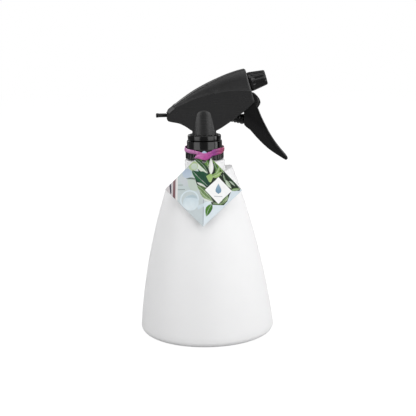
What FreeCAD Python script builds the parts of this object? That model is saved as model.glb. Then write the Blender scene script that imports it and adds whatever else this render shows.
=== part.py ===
import FreeCAD, Part
import math
import os
import re

import Sketcher
from FreeCAD import Placement, Rotation, Vector

# Plant mister: a one-litre bottle with a trigger pump head on a 28 mm screw neck.
# +Z is up, +X is the way it sprays, and the origin is the middle of the bottle's base.
# Lengths are in millimetres and angles in degrees.

SEAM_ANGLE = 15  # turns a thread's start away from the seam of the round it joins

DIMENSIONS = [
    # bottle
    ("base_rad", 61.0), ("taper", 0.0967), ("belly", 0.000889),
    ("lean", 0.02864), ("lean_back", 0.0001023), ("bottle_wall", 1.6),
    ("shoulder_up", 141.7), ("shoulder_tilt", 18.5),
    ("base_round", 5.0), ("shoulder_round", 2.8),
    ("neck_rad", 17.9), ("neck_top", 156.0),
    ("finish_rad", 12.6), ("finish_bore", 10.8), ("mouth_up", 169.4),
    ("thread_pitch", 4.233), ("thread_deep", 1.1), ("thread_wide", 2.2), ("thread_turns", 1.25),
    ("thread_low", 159.3),
    # collar and ring
    ("collar_low", 157.0), ("skirt_rad", 17.0), ("skirt_top", 166.0),
    ("collar_rad", 15.65), ("collar_top", 173.2), ("collar_bore", 14.05), ("collar_hole", 9.9),
    ("collar_web", 1.25), ("grip_deep", 0.45), ("grip_count", 36),
    ("ring_low", 173.5), ("ring_top", 178.2), ("ring_rad", 14.8),
    # pump body
    ("stem_rad", 9.4), ("plug_rad", 10.5), ("plug_low", 163.0), ("flange_low", 170.55),
    ("flange_top", 171.8), ("stem_top", 184.0), ("riser_rad", 4.2), ("riser_bore", 1.8),
    ("seat_rad", 4.5), ("seat_low", 158.5), ("seat_top", 171.5), ("ball_rad", 2.0), ("ball_lift", 1.2),
    # pump axis: falls towards the front; lengths along it are counted from pump_x, pump_up
    ("pump_x", 35.5), ("pump_up", 191.0), ("pump_fall", 13.0), ("pump_rad", 7.0), ("pump_bore", 5.6),
    ("pump_rear", -31.5), ("pump_mouth", -17.0), ("rod_rad", 4.5),
    # nozzle axis: rises towards the front; lengths along it are counted from nozzle_x, nozzle_up
    ("nozzle_x", 40.85), ("nozzle_up", 223.85), ("nozzle_rise", 15.65),
    ("nozzle_rear_rad", 8.4), ("nozzle_front_rad", 6.35), ("nozzle_long", 14.6), ("nozzle_start", -0.8),
    ("spout_rad", 4.4), ("spout_rear", -33.0), ("spout_tip", 10.2), ("swirl_bore", 3.0),
    ("nozzle_pitch", 2.0), ("nozzle_thread_low", 6.2), ("nozzle_bore", 5.0), ("orifice_rad", 0.6),
    ("flute_count", 12),
    # shroud
    ("shroud_wall", 1.5), ("shroud_stem_rad", 12.7), ("slot_half", 7.6), ("window_rad", 5.4),
    # trigger
    ("pivot_x", 42.5), ("pivot_up", 209.0), ("pin_rad", 1.5), ("trigger_half", 7.0), ("trigger_gap", 5.0),
    ("trigger_skin", 1.3), ("finger_half", 8.6),
    # tail pin, dip tube
    ("tail_up", 195.7), ("tail_pin_rad", 1.5), ("dip_rad", 3.0), ("dip_bend", 350.0),
    # tag and band
    ("tag_side", 47.9), ("tag_thick", 0.5), ("tag_fold", 10.0), ("tag_lean", 24.5), ("tag_turn", 1.7),
    ("tag_tip_x", -0.25), ("tag_tip_y", -19.4), ("tag_tip_up", 166.3), ("tag_hole", 9.4),
    ("band_rad", 17.4), ("band_thick", 0.9), ("band_wide", 3.4), ("band_tilt", 8.0), ("band_tip", 32.8),
    ("band_low", 162.9),
]

doc = FreeCAD.newDocument("mister")
dims = doc.addObject("Spreadsheet::Sheet", "dims")
for row, (alias, value) in enumerate(DIMENSIONS, start=1):
    dims.set(f"A{row}", alias)
    dims.set(f"B{row}", str(value))
    dims.setAlias(f"B{row}", alias)
doc.recompute()

ALIASES = re.compile(r"\b(" + "|".join(alias for alias, _ in DIMENSIONS) + r")\b")
PIECES = []


# ---------------------------------------------------------------- helpers
def size(text):
    """The value of a formula of the sheet's aliases."""
    return float(dims.evalExpression(text))


def formula(text):
    """The same formula, as another object has to write it."""
    return ALIASES.sub(r"dims.\1", text)


def bind(item, **formulas):
    """Bind properties of an object to formulas; a double underscore stands for a dot."""
    for name, text in formulas.items():
        item.setExpression(name.replace("__", "."), formula(str(text)))


def piece(item, label):
    """Mark an object as a sub-part and give it the name of its node."""
    item.Label = label
    PIECES.append(item)
    return item


def stand(item, x="0", y="0", z="0", axis=Vector(0, 1, 0), turn="0"):
    """Place an object: a turn about an axis, then a shift."""
    item.Placement = Placement(Vector(size(x), size(y), size(z)), Rotation(axis, size(turn)))
    bind(item, Placement__Base__x=x, Placement__Base__y=y, Placement__Base__z=z)
    return item


def on_pump(item, along="0"):
    """Place an object whose own +Z is the pump's axis, pointing to the front."""
    return stand(item, f"pump_x + ({along}) * cos(pump_fall * 1 deg)", "0",
                 f"pump_up - ({along}) * sin(pump_fall * 1 deg)", turn="90 + pump_fall")


def on_nozzle(item, along="0"):
    """Place an object whose own +Z is the nozzle's axis, pointing to the front."""
    return stand(item, f"nozzle_x + ({along}) * cos(nozzle_rise * 1 deg)", "0",
                 f"nozzle_up + ({along}) * sin(nozzle_rise * 1 deg)", turn="90 - nozzle_rise")


def turned(name, outline):
    """A body turned about its own Z axis from a closed outline of (radius, height) formulas."""
    body = doc.addObject("PartDesign::Body", name)
    sketch = body.newObject("Sketcher::SketchObject", name + "_outline")
    plane = [item for item in body.Origin.OriginFeatures if item.Role == "XZ_Plane"][0]
    sketch.AttachmentSupport = [(plane, "")]
    sketch.MapMode = "FlatFace"
    corners = [Vector(size(across), size(up), 0) for across, up in outline]
    for number, corner in enumerate(corners):
        sketch.addGeometry(Part.LineSegment(corner, corners[(number + 1) % len(corners)]), False)
    for number in range(len(corners)):
        following = (number + 1) % len(corners)
        sketch.addConstraint(Sketcher.Constraint("Coincident", number, 2, following, 1))
    for number, (across, up) in enumerate(outline):
        corner = corners[number]
        for kind, text, value in (("DistanceX", across, corner.x), ("DistanceY", up, corner.y)):
            index = sketch.addConstraint(Sketcher.Constraint(kind, -1, 1, number, 1, value))
            sketch.setExpression(f"Constraints[{index}]", formula(text))
    turn = body.newObject("PartDesign::Revolution", name + "_turn")
    turn.Profile = sketch
    turn.ReferenceAxis = (sketch, ["V_Axis"])
    turn.Angle = 360
    return body


def ring(inner, outer, low, high):
    """The outline of a plain ring or sleeve."""
    return [(inner, low), (outer, low), (outer, high), (inner, high)]


def rod(name, radius, length):
    """A cylinder that stands on its own origin."""
    item = doc.addObject("Part::Cylinder", name)
    bind(item, Radius=radius, Height=length)
    return item


def block(name, long, wide, high):
    """A box with one corner on its own origin."""
    item = doc.addObject("Part::Box", name)
    bind(item, Length=long, Width=wide, Height=high)
    return item


def fused(name, *parts):
    """Several objects joined into one."""
    item = doc.addObject("Part::MultiFuse", name)
    item.Shapes = list(parts)
    return item


def cut(name, base, *tools):
    """An object less its tools."""
    item = doc.addObject("Part::Cut", name)
    item.Base = base
    item.Tool = tools[0] if len(tools) == 1 else fused(name + "_tools", *tools)
    return item


def coded(name, shape):
    """A Part::Feature for a shape that neither sketches nor primitives make."""
    item = doc.addObject("Part::Feature", name)
    item.Shape = shape
    return item


def threaded(name, blank, ridge):
    """A finished blank with a thread's ridge joined to it."""
    doc.recompute()
    return coded(name, blank.Shape.fuse(ridge))


def helix_ridge(radius, pitch, turns, low, profile):
    """A thread's ridge: a profile of (radius, height) corners swept up a right-hand helix."""
    path = Part.makeHelix(pitch, pitch * turns, radius)
    path.translate(Vector(0, 0, low))
    corners = [Vector(across, 0, low + up) for across, up in profile]
    face = Part.makePolygon(corners + [corners[0]])
    ridge = Part.Wire(path.Edges).makePipeShell([face], True, True)
    ridge.rotate(Vector(0, 0, 0), Vector(0, 0, 1), SEAM_ANGLE)
    return ridge


def thread_section(radius, deep, root, side):
    """Corners of a ridge's section: a foot sunk in the wall, a root on it and a narrower crest."""
    crest = root - abs(deep) / 2
    foot, top = radius - 0.4 * side, radius + deep * side
    return [(foot, -root), (radius, -root), (top, -crest), (top, crest), (radius, root), (foot, root)]


def flat_face(points):
    """A face in the XZ plane from straight and curved stretches: a nested list is a spline."""
    edges = []
    start = last = None
    for item in points:
        stretch = [Vector(x, 0, z) for x, z in (item if isinstance(item, list) else [item])]
        if last is None:
            start = last = stretch[0]
            continue
        if len(stretch) == 1:
            edges.append(Part.makeLine(last, stretch[0]))
        else:
            curve = Part.BSplineCurve()
            curve.interpolate([last] + stretch)
            edges.append(curve.toShape())
        last = stretch[-1]
    edges.append(Part.makeLine(last, start))
    return Part.Face(Part.Wire(edges))


def drawn_in(outline, inset):
    """The same outline with every corner moved inwards, for a wall of even thickness."""
    flat = [point for item in outline for point in (item if isinstance(item, list) else [item])]
    moved = []
    for number, (x, z) in enumerate(flat):
        before, after = flat[number - 1], flat[(number + 1) % len(flat)]
        normals = []
        for (x0, z0), (x1, z1) in ((before, (x, z)), ((x, z), after)):
            length = math.hypot(x1 - x0, z1 - z0)
            normals.append(((z1 - z0) / length, -(x1 - x0) / length))
        across, up = normals[0][0] + normals[1][0], normals[0][1] + normals[1][1]
        spread = 1 + normals[0][0] * normals[1][0] + normals[0][1] * normals[1][1]
        moved.append((x + inset * across / spread, z + inset * up / spread))
    places = iter(moved)
    return [[next(places) for _ in item] if isinstance(item, list) else next(places) for item in outline]


def slab(points, half_near, half_far=None):
    """An outline in the XZ plane given a width along Y."""
    far = half_near if half_far is None else half_far
    face = flat_face(points)
    face.translate(Vector(0, -half_near, 0))
    return face.extrude(Vector(0, half_near + far, 0))


# ---------------------------------------------------------------- bottle
def bottle_form(inset, low, high, lift):
    """The body's round, leaning form as a loft, cut by the slanted shoulder lowered by lift."""
    sections = []
    steps = 6
    for step in range(steps):
        up = low + (high - low) * step / (steps - 1)
        radius = size("base_rad") - size("taper") * up - size("belly") * up ** 2 - inset
        shift = -size("lean") * up + size("lean_back") * up ** 2
        sections.append(Part.Wire(Part.makeCircle(radius, Vector(shift, 0, up))))
    form = Part.makeLoft(sections, True, False)
    reach = 4 * size("base_rad")
    over = Part.makeBox(reach, reach, reach, Vector(-reach / 2, -reach / 2, 0))
    over.Placement = Placement(Vector(0, 0, size("shoulder_up") - lift),
                               Rotation(Vector(0, 1, 0), -size("shoulder_tilt"))).multiply(over.Placement)
    return form.cut(over)


def rounded(shape, radius, wanted):
    """Round the edges of a shape that the test picks."""
    edges = [edge for edge in shape.Edges if wanted(edge)]
    return shape.makeFillet(radius, edges)


def make_bottle():
    """A blow-moulded body with a slanted shoulder, an upright neck and a threaded finish."""
    top = size("neck_top")
    wall = size("bottle_wall")
    outer = bottle_form(0, 0, top, 0)
    outer = rounded(outer, size("base_round"), lambda edge: edge.BoundBox.ZMax < 0.1)
    outer = rounded(outer, size("shoulder_round"),
                    lambda edge: edge.BoundBox.ZMin > 100 and edge.BoundBox.ZLength > 5
                    and edge.BoundBox.XLength > 40)
    neck = Part.makeCylinder(size("neck_rad"), top - 120, Vector(0, 0, 120))
    outer = outer.fuse(neck).removeSplitter()
    shoulder_run = [edge for edge in outer.Edges
                    if 120 < edge.BoundBox.ZMin and abs(edge.BoundBox.XLength - 2 * size("neck_rad")) < 0.3
                    and edge.BoundBox.ZLength > 5]
    outer = outer.makeFillet(1.5, shoulder_run)
    inner = bottle_form(wall, wall, top, wall / math.cos(math.radians(size("shoulder_tilt"))))
    inner = rounded(inner, size("base_round") - wall, lambda edge: edge.BoundBox.ZMax < wall + 0.1)
    throat = Part.makeCylinder(size("neck_rad") - wall, top - wall - 125, Vector(0, 0, 125))
    bore = Part.makeCylinder(size("finish_bore"), 60, Vector(0, 0, 130))
    finish_rad = size("finish_rad")
    finish = Part.makeCylinder(finish_rad, size("mouth_up") - top + 1, Vector(0, 0, top - 1))
    ridge = helix_ridge(finish_rad, size("thread_pitch"), size("thread_turns"), size("thread_low"),
                        thread_section(finish_rad, size("thread_deep"), size("thread_wide") / 2, 1))
    blank = outer.fuse(finish).cut(inner.fuse(throat)).cut(bore)
    return piece(coded("bottle", blank.fuse(ridge)), "bottle")


# ---------------------------------------------------------------- collar, ring and gasket
def make_collar():
    """The screw cap with upright grips, hollow for the neck's finish."""
    shell = turned("collar_shell", [
        ("collar_bore", "collar_low"), ("skirt_rad - 0.4", "collar_low"), ("skirt_rad", "collar_low + 0.4"),
        ("skirt_rad", "skirt_top"), ("collar_rad", "skirt_top + 1.6"), ("collar_rad", "collar_top - 0.6"),
        ("collar_rad - 0.6", "collar_top"), ("collar_hole", "collar_top"),
        ("collar_hole", "collar_top - collar_web"), ("collar_bore", "collar_top - collar_web")])
    grips = []
    groove = Part.makeCylinder(size("grip_deep"), size("skirt_top") - size("collar_low") - 0.8,
                               Vector(size("skirt_rad") + 0.1, 0, size("collar_low") - 0.5))
    for number in range(int(size("grip_count"))):
        grip = groove.copy()
        grip.rotate(Vector(0, 0, 0), Vector(0, 0, 1), 360.0 / size("grip_count") * number)
        grips.append(grip)
    # half a turn round, the collar's ridge lies midway between the turns of the bottle's
    bore = size("collar_bore")
    ridge = helix_ridge(bore, size("thread_pitch"), size("thread_turns"), size("thread_low"),
                        thread_section(bore, size("thread_deep"), size("thread_wide") / 2, -1))
    ridge.rotate(Vector(0, 0, 0), Vector(0, 0, 1), 180)
    gripped = cut("collar_gripped", shell, coded("collar_grips", Part.makeCompound(grips)))
    return piece(threaded("collar", gripped, ridge), "collar")


def make_ring():
    """The ring that holds the collar on the pump's stem."""
    return piece(turned("retaining_ring", [
        ("stem_rad + 0.2", "ring_low"), ("ring_rad - 0.5", "ring_low"), ("ring_rad", "ring_low + 0.5"),
        ("ring_rad", "ring_top - 0.7"), ("ring_rad - 0.7", "ring_top"), ("stem_rad + 0.2", "ring_top")]),
        "retaining_ring")


def make_gasket():
    """The soft washer between the bottle's mouth and the pump's flange."""
    return piece(turned("neck_gasket", ring("plug_rad + 0.05", "finish_rad + 0.9",
                                            "mouth_up + 0.1", "flange_low")), "neck_gasket")


# ---------------------------------------------------------------- pump body
def make_pump_body():
    """The moulding inside the cover: stem and riser, pump cylinder, outlet gallery and tail arm."""
    stem = turned("pump_stem", [
        ("0", "seat_low"), ("seat_rad + 1.7", "seat_low"), ("seat_rad + 1.7", "plug_low + 3"),
        ("plug_rad - 1.6", "plug_low + 4"), ("plug_rad - 1.6", "plug_low"), ("plug_rad", "plug_low"),
        ("plug_rad", "flange_low"), ("finish_rad + 0.9", "flange_low"), ("finish_rad + 0.9", "flange_top"),
        ("stem_rad", "flange_top"), ("stem_rad", "stem_top"), ("riser_rad", "stem_top + 2"),
        ("riser_rad", "nozzle_up - 11"), ("0", "nozzle_up - 11")])
    cylinder = on_pump(rod("pump_cylinder", "pump_rad", "pump_mouth - pump_rear"), "pump_rear")
    gallery = on_nozzle(rod("pump_gallery", "4.8", "16"), "-46")
    arm = stand(block("tail_arm", "24", "2.4", "6"), "-27", "-1.2", "tail_up - 3")
    boss = stand(rod("tail_boss", "3.2", "8"), "-27.5", "0", "tail_up", turn="90")
    web = stand(block("pump_web", "9", "2.4", "24"), "2", "-1.2", "stem_top - 1")
    solid = fused("pump_solid", stem, cylinder, gallery, arm, boss, web)
    seat_socket = stand(rod("seat_socket", "seat_rad", "seat_top - seat_low + 1"), z="seat_low - 1")
    chamber = stand(rod("ball_chamber", "ball_rad + 0.6", "ball_lift + 3.1"), z="seat_top - 0.02")
    lift_bore = stand(rod("lift_bore", "riser_bore", "nozzle_up - 11.6 - seat_top"), z="seat_top")
    pump_bore = on_pump(rod("bore", "pump_bore", "pump_mouth - pump_rear"), "pump_rear + 1")
    port = on_pump(rod("pump_port", "1.2", "7"), "pump_rear - 4.9")
    outlet = on_nozzle(rod("outlet_port", "1.5", "7"), "-42.4")
    outlet_seat = on_nozzle(rod("outlet_chamber", "2.6", "6"), "-37.5")
    spout_socket = on_nozzle(rod("spout_socket", "3.4", "6"), "-33")
    pin_hole = stand(rod("tail_hole", "tail_pin_rad", "9"), "-28", "0", "tail_up", turn="90")
    return piece(cut("pump_body", solid, seat_socket, chamber, lift_bore, pump_bore, port, outlet,
                     outlet_seat, spout_socket, pin_hole), "pump_body")


def make_valves():
    """The seat that grips the dip tube, and the inlet and outlet balls."""
    piece(turned("valve_seat", [
        ("dip_rad", "seat_low"), ("seat_rad", "seat_low"), ("seat_rad", "seat_top"), ("1.8", "seat_top"),
        ("1.15", "seat_top - 1.2"), ("1.15", "seat_low + 8.5"), ("dip_rad", "seat_low + 8.5")]), "valve_seat")
    inlet = doc.addObject("Part::Sphere", "inlet_ball")
    bind(inlet, Radius="ball_rad")
    piece(stand(inlet, z="seat_top + 1.15"), "inlet_ball")
    outlet = doc.addObject("Part::Sphere", "outlet_ball")
    bind(outlet, Radius="1.75")
    piece(on_nozzle(outlet, "-36.45"), "outlet_ball")


def coil(mean, wire, length, turns):
    """A round-wire compression spring standing on its own Z axis."""
    path = Part.makeHelix(length / turns, length, mean)
    section = Part.Wire(Part.makeCircle(wire, Vector(mean, 0, 0), Vector(0, 1, 0)))
    return Part.Wire(path.Edges).makePipeShell([section], True, True)


def make_springs():
    """The spring that pushes the piston out, and the light one behind the outlet ball."""
    spring = coded("return_spring", coil(2.4, 0.4, 26.0, 9))
    piece(on_pump(spring, "pump_rear + 1.5"), "return_spring")
    outlet = coded("outlet_spring", coil(1.6, 0.2, 1.4, 2.5))
    piece(on_nozzle(outlet, "-34.55"), "outlet_spring")


def make_piston():
    """The ribbed rod with its grooved head, and the lip seal in the groove."""
    outline = [("3.2", "-21.5"), ("5.45", "-21.5"), ("5.45", "-20.6"), ("4.7", "-20.6"), ("4.7", "-19.0"),
               ("5.45", "-19.0"), ("5.45", "-18.0"), ("rod_rad", "-18.0")]
    for number in range(5):
        low = -14.0 + 2.6 * number
        outline += [("rod_rad", f"{low}"), ("rod_rad - 0.5", f"{low + 0.3}"),
                    ("rod_rad - 0.5", f"{low + 1.1}"), ("rod_rad", f"{low + 1.4}")]
    outline += [("rod_rad", "-0.4"), ("rod_rad - 1.6", "1.1"), ("0", "1.6"), ("0", "-3.6"), ("3.2", "-3.6")]
    piece(on_pump(turned("piston", outline)), "piston")
    seal = turned("piston_seal", [("4.75", "-20.5"), ("pump_bore - 0.03", "-20.5"), ("5.3", "-19.8"),
                                  ("pump_bore - 0.03", "-19.1"), ("4.75", "-19.1")])
    piece(on_pump(seal), "piston_seal")


# ---------------------------------------------------------------- spout and nozzle
def nozzle_ridge(radius, side, low, turns):
    """The fine thread between spout and cap; side is 1 on the spout and -1 in the cap."""
    return helix_ridge(radius, size("nozzle_pitch"), turns, low, thread_section(radius, 0.5, 0.45, side))


def make_spout():
    """The tube to the nozzle with two ears for the trigger's pin."""
    tube = turned("spout_tube", [
        ("1.3", "spout_rear"), ("3.4", "spout_rear"), ("3.4", "-4"), ("spout_rad", "-3"),
        ("spout_rad", "spout_tip"), ("swirl_bore", "spout_tip"), ("swirl_bore", "6"), ("1.3", "6")])
    thread = nozzle_ridge(size("spout_rad"), 1, size("nozzle_thread_low"), 1.7)
    ridge = on_nozzle(coded("spout_thread", thread))
    doc.recompute()
    ear_side = [(32.0, 221.5), (37.6, 222.8), (39.6, 215.0), (43.4, 211.9),
                [(45.3, 210.0), (45.2, 207.7), (42.5, 206.0), (40.2, 207.2)], (33.5, 215.5)]
    ears = [coded("ear_near", slab(ear_side, 3.6, -1.7)), coded("ear_far", slab(ear_side, -1.7, 3.6))]
    solid = fused("spout_solid", on_nozzle(tube), *ears)
    hole = stand(rod("pivot_hole", "pin_rad", "10"), "pivot_x", "5", "pivot_up",
                 axis=Vector(1, 0, 0), turn="90")
    passage = on_nozzle(rod("spout_passage", "1.3", "39"), "spout_rear")
    chamber = on_nozzle(rod("swirl_chamber", "swirl_bore", "5"), "6")
    blank = cut("spout_blank", solid, hole, passage, chamber)
    piece(threaded("spout", blank, ridge.Shape), "spout")
    pin = stand(rod("trigger_pin", "pin_rad", "2 * trigger_half - 0.6"), "pivot_x", "trigger_half - 0.3",
                "pivot_up", axis=Vector(1, 0, 0), turn="90")
    piece(pin, "trigger_pin")


def make_nozzle():
    """The fluted cap, its seal and the core that makes the water swirl."""
    shell = turned("nozzle_shell", [
        ("6.2", "nozzle_start"), ("nozzle_rear_rad - 0.5", "nozzle_start"),
        ("nozzle_rear_rad", "nozzle_start + 0.5"),
        ("nozzle_rear_rad", "1.8"), ("nozzle_front_rad", "nozzle_long - 0.7"),
        ("nozzle_front_rad - 0.7", "nozzle_long"), ("2.4", "nozzle_long"),
        ("orifice_rad", "nozzle_long - 1.2"), ("orifice_rad", "12.5"), ("nozzle_bore", "12.5"),
        ("nozzle_bore", "3.0"), ("6.2", "3.0")])
    ridge = nozzle_ridge(size("nozzle_bore"), -1, size("nozzle_thread_low") - size("nozzle_pitch") / 2, 1.9)
    flutes = []
    flute_foot = Vector(size("nozzle_rear_rad") + 0.25, 0, 2.2)
    along_taper = Vector(-0.136, 0, 1)
    for number in range(int(size("flute_count"))):
        flute = Part.makeCone(0.75, 0.95, size("nozzle_long"), flute_foot, along_taper)
        flute.rotate(Vector(0, 0, 0), Vector(0, 0, 1), 360.0 / size("flute_count") * number)
        flutes.append(flute)
    blank = cut("nozzle_blank", shell, coded("nozzle_flutes", Part.makeCompound(flutes)))
    piece(on_nozzle(threaded("nozzle_cap", blank, ridge)), "nozzle_cap")
    seal = doc.addObject("Part::Torus", "nozzle_seal")
    bind(seal, Radius1="spout_rad + 0.87", Radius2="0.8")
    piece(on_nozzle(seal, "1.9"), "nozzle_seal")
    core = turned("swirl_core", [
        ("0", "6.5"), ("2.2", "6.5"), ("2.2", "9.2"),
        ("swirl_bore - 0.1", "9.2"), ("swirl_bore - 0.1", "10.3"),
        ("4.2", "10.3"), ("4.2", "10.9"), ("1.6", "12.2"), ("0", "12.2")])
    piece(on_nozzle(core), "swirl_core")


# ---------------------------------------------------------------- shroud
def shroud_form(inset):
    """The cover's outer form, or with an inset the space inside it."""
    side = [(-32.4, 198.9), [(-24.5, 206.1), (-10.2, 216.0), (4.0, 223.6), (18.2, 229.8), (36.5, 235.2)],
            (44.2, 208.4), [(44.1, 206.6), (42.6, 204.9)], (35.9, 199.4), (13.2, 183.3), (12.5, 180.5),
            (-12.5, 180.5), (-12.5, 183.4), (-21.8, 189.0), (-30.4, 190.9),
            [(-32.2, 192.3), (-32.7, 194.6)]]
    face = flat_face(drawn_in(side, inset))
    half = 20
    face.translate(Vector(0, -half, 0))
    profile = face.extrude(Vector(0, 2 * half, 0))
    # each station along X: half width at the bottom, height and half width of the crease, half width at the top
    low_up, top_up = 180.0, 240.0
    stations = [(-40, 8.8, 196.0, 9.6, 5.6), (-14, 10.2, 209.0, 12.9, 6.8), (14, 9.4, 216.0, 15.0, 8.2),
                (50, 9.4, 216.6, 15.3, 9.6)]
    sections = []
    for x, low_half, crease_up, crease_half, top_half in stations:
        corners = [(low_half - inset, low_up), (crease_half - inset, crease_up), (top_half - inset, top_up)]
        loop = [Vector(x, -across, up) for across, up in corners]
        loop += [Vector(x, across, up) for across, up in reversed(corners)]
        sections.append(Part.makePolygon(loop + [loop[0]]))
    flanks = Part.makeLoft(sections, True, False)
    return profile.common(flanks)


def make_shroud():
    """The thin grey cover with its round stem, its slot for the trigger and its window for the nozzle."""
    outer = shroud_form(0)
    stem_rad = size("shroud_stem_rad")
    stem = Part.makeCylinder(stem_rad, 30, Vector(0, 0, size("ring_top") + 0.1))
    dome = Part.makeSphere(40, Vector(0, 0, 162))
    outer = outer.fuse(stem.common(dome))
    wall = size("shroud_wall")
    inner = shroud_form(wall)
    throat = Part.makeCylinder(stem_rad - wall, 26, Vector(0, 0, size("ring_top") - 1))
    slot_half = size("slot_half")
    slot = Part.makeBox(34, 2 * slot_half, 26, Vector(14.5, -slot_half, 181))
    face_slot = Part.makeBox(9, 2 * slot_half, 15.6, Vector(38.5, -slot_half, 200.4))
    rise = math.radians(size("nozzle_rise"))
    direction = Vector(math.cos(rise), 0, math.sin(rise))
    window_foot = Vector(size("nozzle_x"), 0, size("nozzle_up")) - direction * 7
    window = Part.makeCylinder(size("window_rad"), 12, window_foot, direction)
    pin = Part.makeCylinder(size("tail_pin_rad") + 0.05, 8, Vector(-36, 0, size("tail_up")), Vector(1, 0, 0))
    shroud = outer.cut(inner.fuse(throat)).cut([slot, face_slot, window, pin])
    solids = sorted(shroud.Solids, key=lambda solid: solid.Volume)
    return piece(coded("shroud", solids[-1]), "shroud")


def make_tail_pin():
    """The headed pin that sticks out behind the cover."""
    return piece(stand(turned("tail_pin", [
        ("0", "-42.4"), ("1.7", "-42.4"), ("2.0", "-42.0"), ("2.0", "-40.7"), ("1.7", "-40.3"),
        ("tail_pin_rad", "-40.3"), ("tail_pin_rad", "-21.5"), ("0.9", "-20.5"), ("0", "-20.5")]),
        z="tail_up", turn="90"), "tail_pin")


# ---------------------------------------------------------------- trigger
def make_trigger():
    """A channel: a curved front strip for the fingers, two flanges and a web that meets the piston."""
    front = [(47.4, 201.7), (50.2, 194.6), (53.7, 187.2), (57.8, 179.4), (62.9, 171.2), (68.2, 164.1),
             (73.3, 158.0)]
    rear = [(40.4, 182.2), (48.2, 173.2), (57.6, 164.4), (69.2, 156.4)]
    outline = [(36.2, 203.5), (35.7, 198.8), (35.0, 189.5), [(35.4, 186.4), (37.4, 184.8)],
               rear, [(71.3, 155.3), (73.0, 155.7), front[-1]], front[-2::-1],
               [(49.2, 204.6), (49.6, 207.0), (48.2, 210.4), (44.6, 213.9)],
               [(41.6, 214.5), (38.4, 212.0)]]
    half = size("trigger_half")
    gap = size("trigger_gap")
    skin = size("trigger_skin")
    solid = slab(outline, half)
    inward = (-0.86, -0.51)  # the mean direction from the front strip into the channel
    channel_front = [(x + inward[0] * skin, up + inward[1] * skin) for x, up in front[:-1]]
    channel = slab([(30, 216), (30, 150), (66.6, 150)] + [channel_front[-1]] + [channel_front[-2::-1]]
                   + [(48.2, 205.0), (47.9, 208.0), (45.0, 212.4), (43.5, 216)], gap)
    strip_rear = [(x + inward[0] * 1.2, up + inward[1] * 1.2) for x, up in front[1:]]
    strip = slab([front[1], front[2:], strip_rear[-1], strip_rear[-2::-1]], size("finger_half"))
    web = slab([(48.5, 196.0), (47.6, 191.4), (38.6, 186.8), (37.7, 188.2), (37.7, 192.5), (38.6, 194.2)],
               1.0)
    hammer = slab([(39.2, 186.6), (37.7, 187.0), (37.6, 193.6), (39.2, 194.4)], gap + 0.2)
    hole = Part.makeCylinder(size("pin_rad") + 0.07, 30, Vector(size("pivot_x"), -15, size("pivot_up")),
                             Vector(0, 1, 0))
    trigger = solid.cut(channel).fuse([strip, web, hammer]).cut(hole)
    return piece(coded("trigger", trigger), "trigger")


# ---------------------------------------------------------------- dip tube, tag and band
def make_dip_tube():
    """The tube from the inlet valve to the bottom of the bottle."""
    bend = size("dip_bend")
    # straight down from the valve seat's socket, then bent forward to a foot just above the base
    top, straight, foot = size("seat_low") + 8.4, 140.0, 9.0
    sweep = math.asin((straight - foot) / bend)
    centre = Vector(bend, 0, straight)
    along = [Vector(centre.x - bend * math.cos(turn), 0, straight - bend * math.sin(turn))
             for turn in (0, sweep / 2, sweep)]
    path = Part.Wire([Part.makeLine(Vector(0, 0, top), along[0]), Part.Arc(*along).toShape()])
    skins = []
    for radius in (size("dip_rad") - 0.02, size("dip_rad") - 1.0):
        section = Part.Wire(Part.makeCircle(radius, Vector(0, 0, top)))
        skins.append(path.makePipeShell([section], True, False))
    return piece(coded("dip_tube", skins[0].cut(skins[1])), "dip_tube")


def make_tag():
    """A square card hung by a corner, folded a little along its upright diagonal."""
    reach = size("tag_side") / math.sqrt(2)
    blunt = 0.8  # the corners are cut this much
    fold = math.radians(size("tag_fold"))
    halves = []
    for side in (-1, 1):
        corners = [(0, 0), (side * blunt, -blunt), (side * (reach - blunt), -reach + blunt),
                   (side * (reach - blunt), -reach - blunt), (side * blunt, -2 * reach + blunt),
                   (0, -2 * reach)]
        points = [Vector(x * math.cos(fold), abs(x) * math.sin(fold), z) for x, z in corners]
        face = Part.Face(Part.makePolygon(points + [points[0]]))
        halves.append(face.extrude(Vector(0, size("tag_thick"), 0)))
    card = halves[0].fuse(halves[1])
    hole = Part.makeCylinder(2.0, 12, Vector(0, -6, -size("tag_hole")), Vector(0, 1, 0))
    card = card.cut(hole)
    tag = coded("hang_tag", card)
    turn = Rotation(Vector(1, 0, 0), -size("tag_lean")).multiply(Rotation(Vector(0, 1, 0), size("tag_turn")))
    tag.Placement = Placement(Vector(size("tag_tip_x"), size("tag_tip_y"), size("tag_tip_up")), turn)
    return piece(tag, "hang_tag")


def make_band():
    """A rubber band round the collar, drawn down to a point at the front where it holds the tag."""
    radius, thick, wide = size("band_rad"), size("band_thick"), size("band_wide")
    tip = Vector(0, -size("band_tip"), 0)
    hold = math.acos(radius / tip.Length)
    foot = Vector(radius * math.sin(hold), -radius * math.cos(hold), 0)
    inner = Part.Wire([Part.Arc(foot, Vector(0, radius, 0), Vector(-foot.x, foot.y, 0)).toShape(),
                       Part.makeLine(Vector(-foot.x, foot.y, 0), tip), Part.makeLine(tip, foot)])
    outer = inner.makeOffset2D(thick)
    band = Part.makeFace([outer, inner], "Part::FaceMakerBullseye").extrude(Vector(0, 0, wide))
    item = coded("rubber_band", band)
    item.Placement = Placement(Vector(0, 0, size("band_low")), Rotation(Vector(1, 0, 0), size("band_tilt")))
    return piece(item, "rubber_band")


make_bottle()
make_collar()
make_ring()
make_gasket()
make_pump_body()
make_valves()
make_springs()
make_piston()
make_spout()
make_nozzle()
make_shroud()
make_tail_pin()
make_trigger()
make_dip_tube()
make_tag()
make_band()
doc.recompute()

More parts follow.
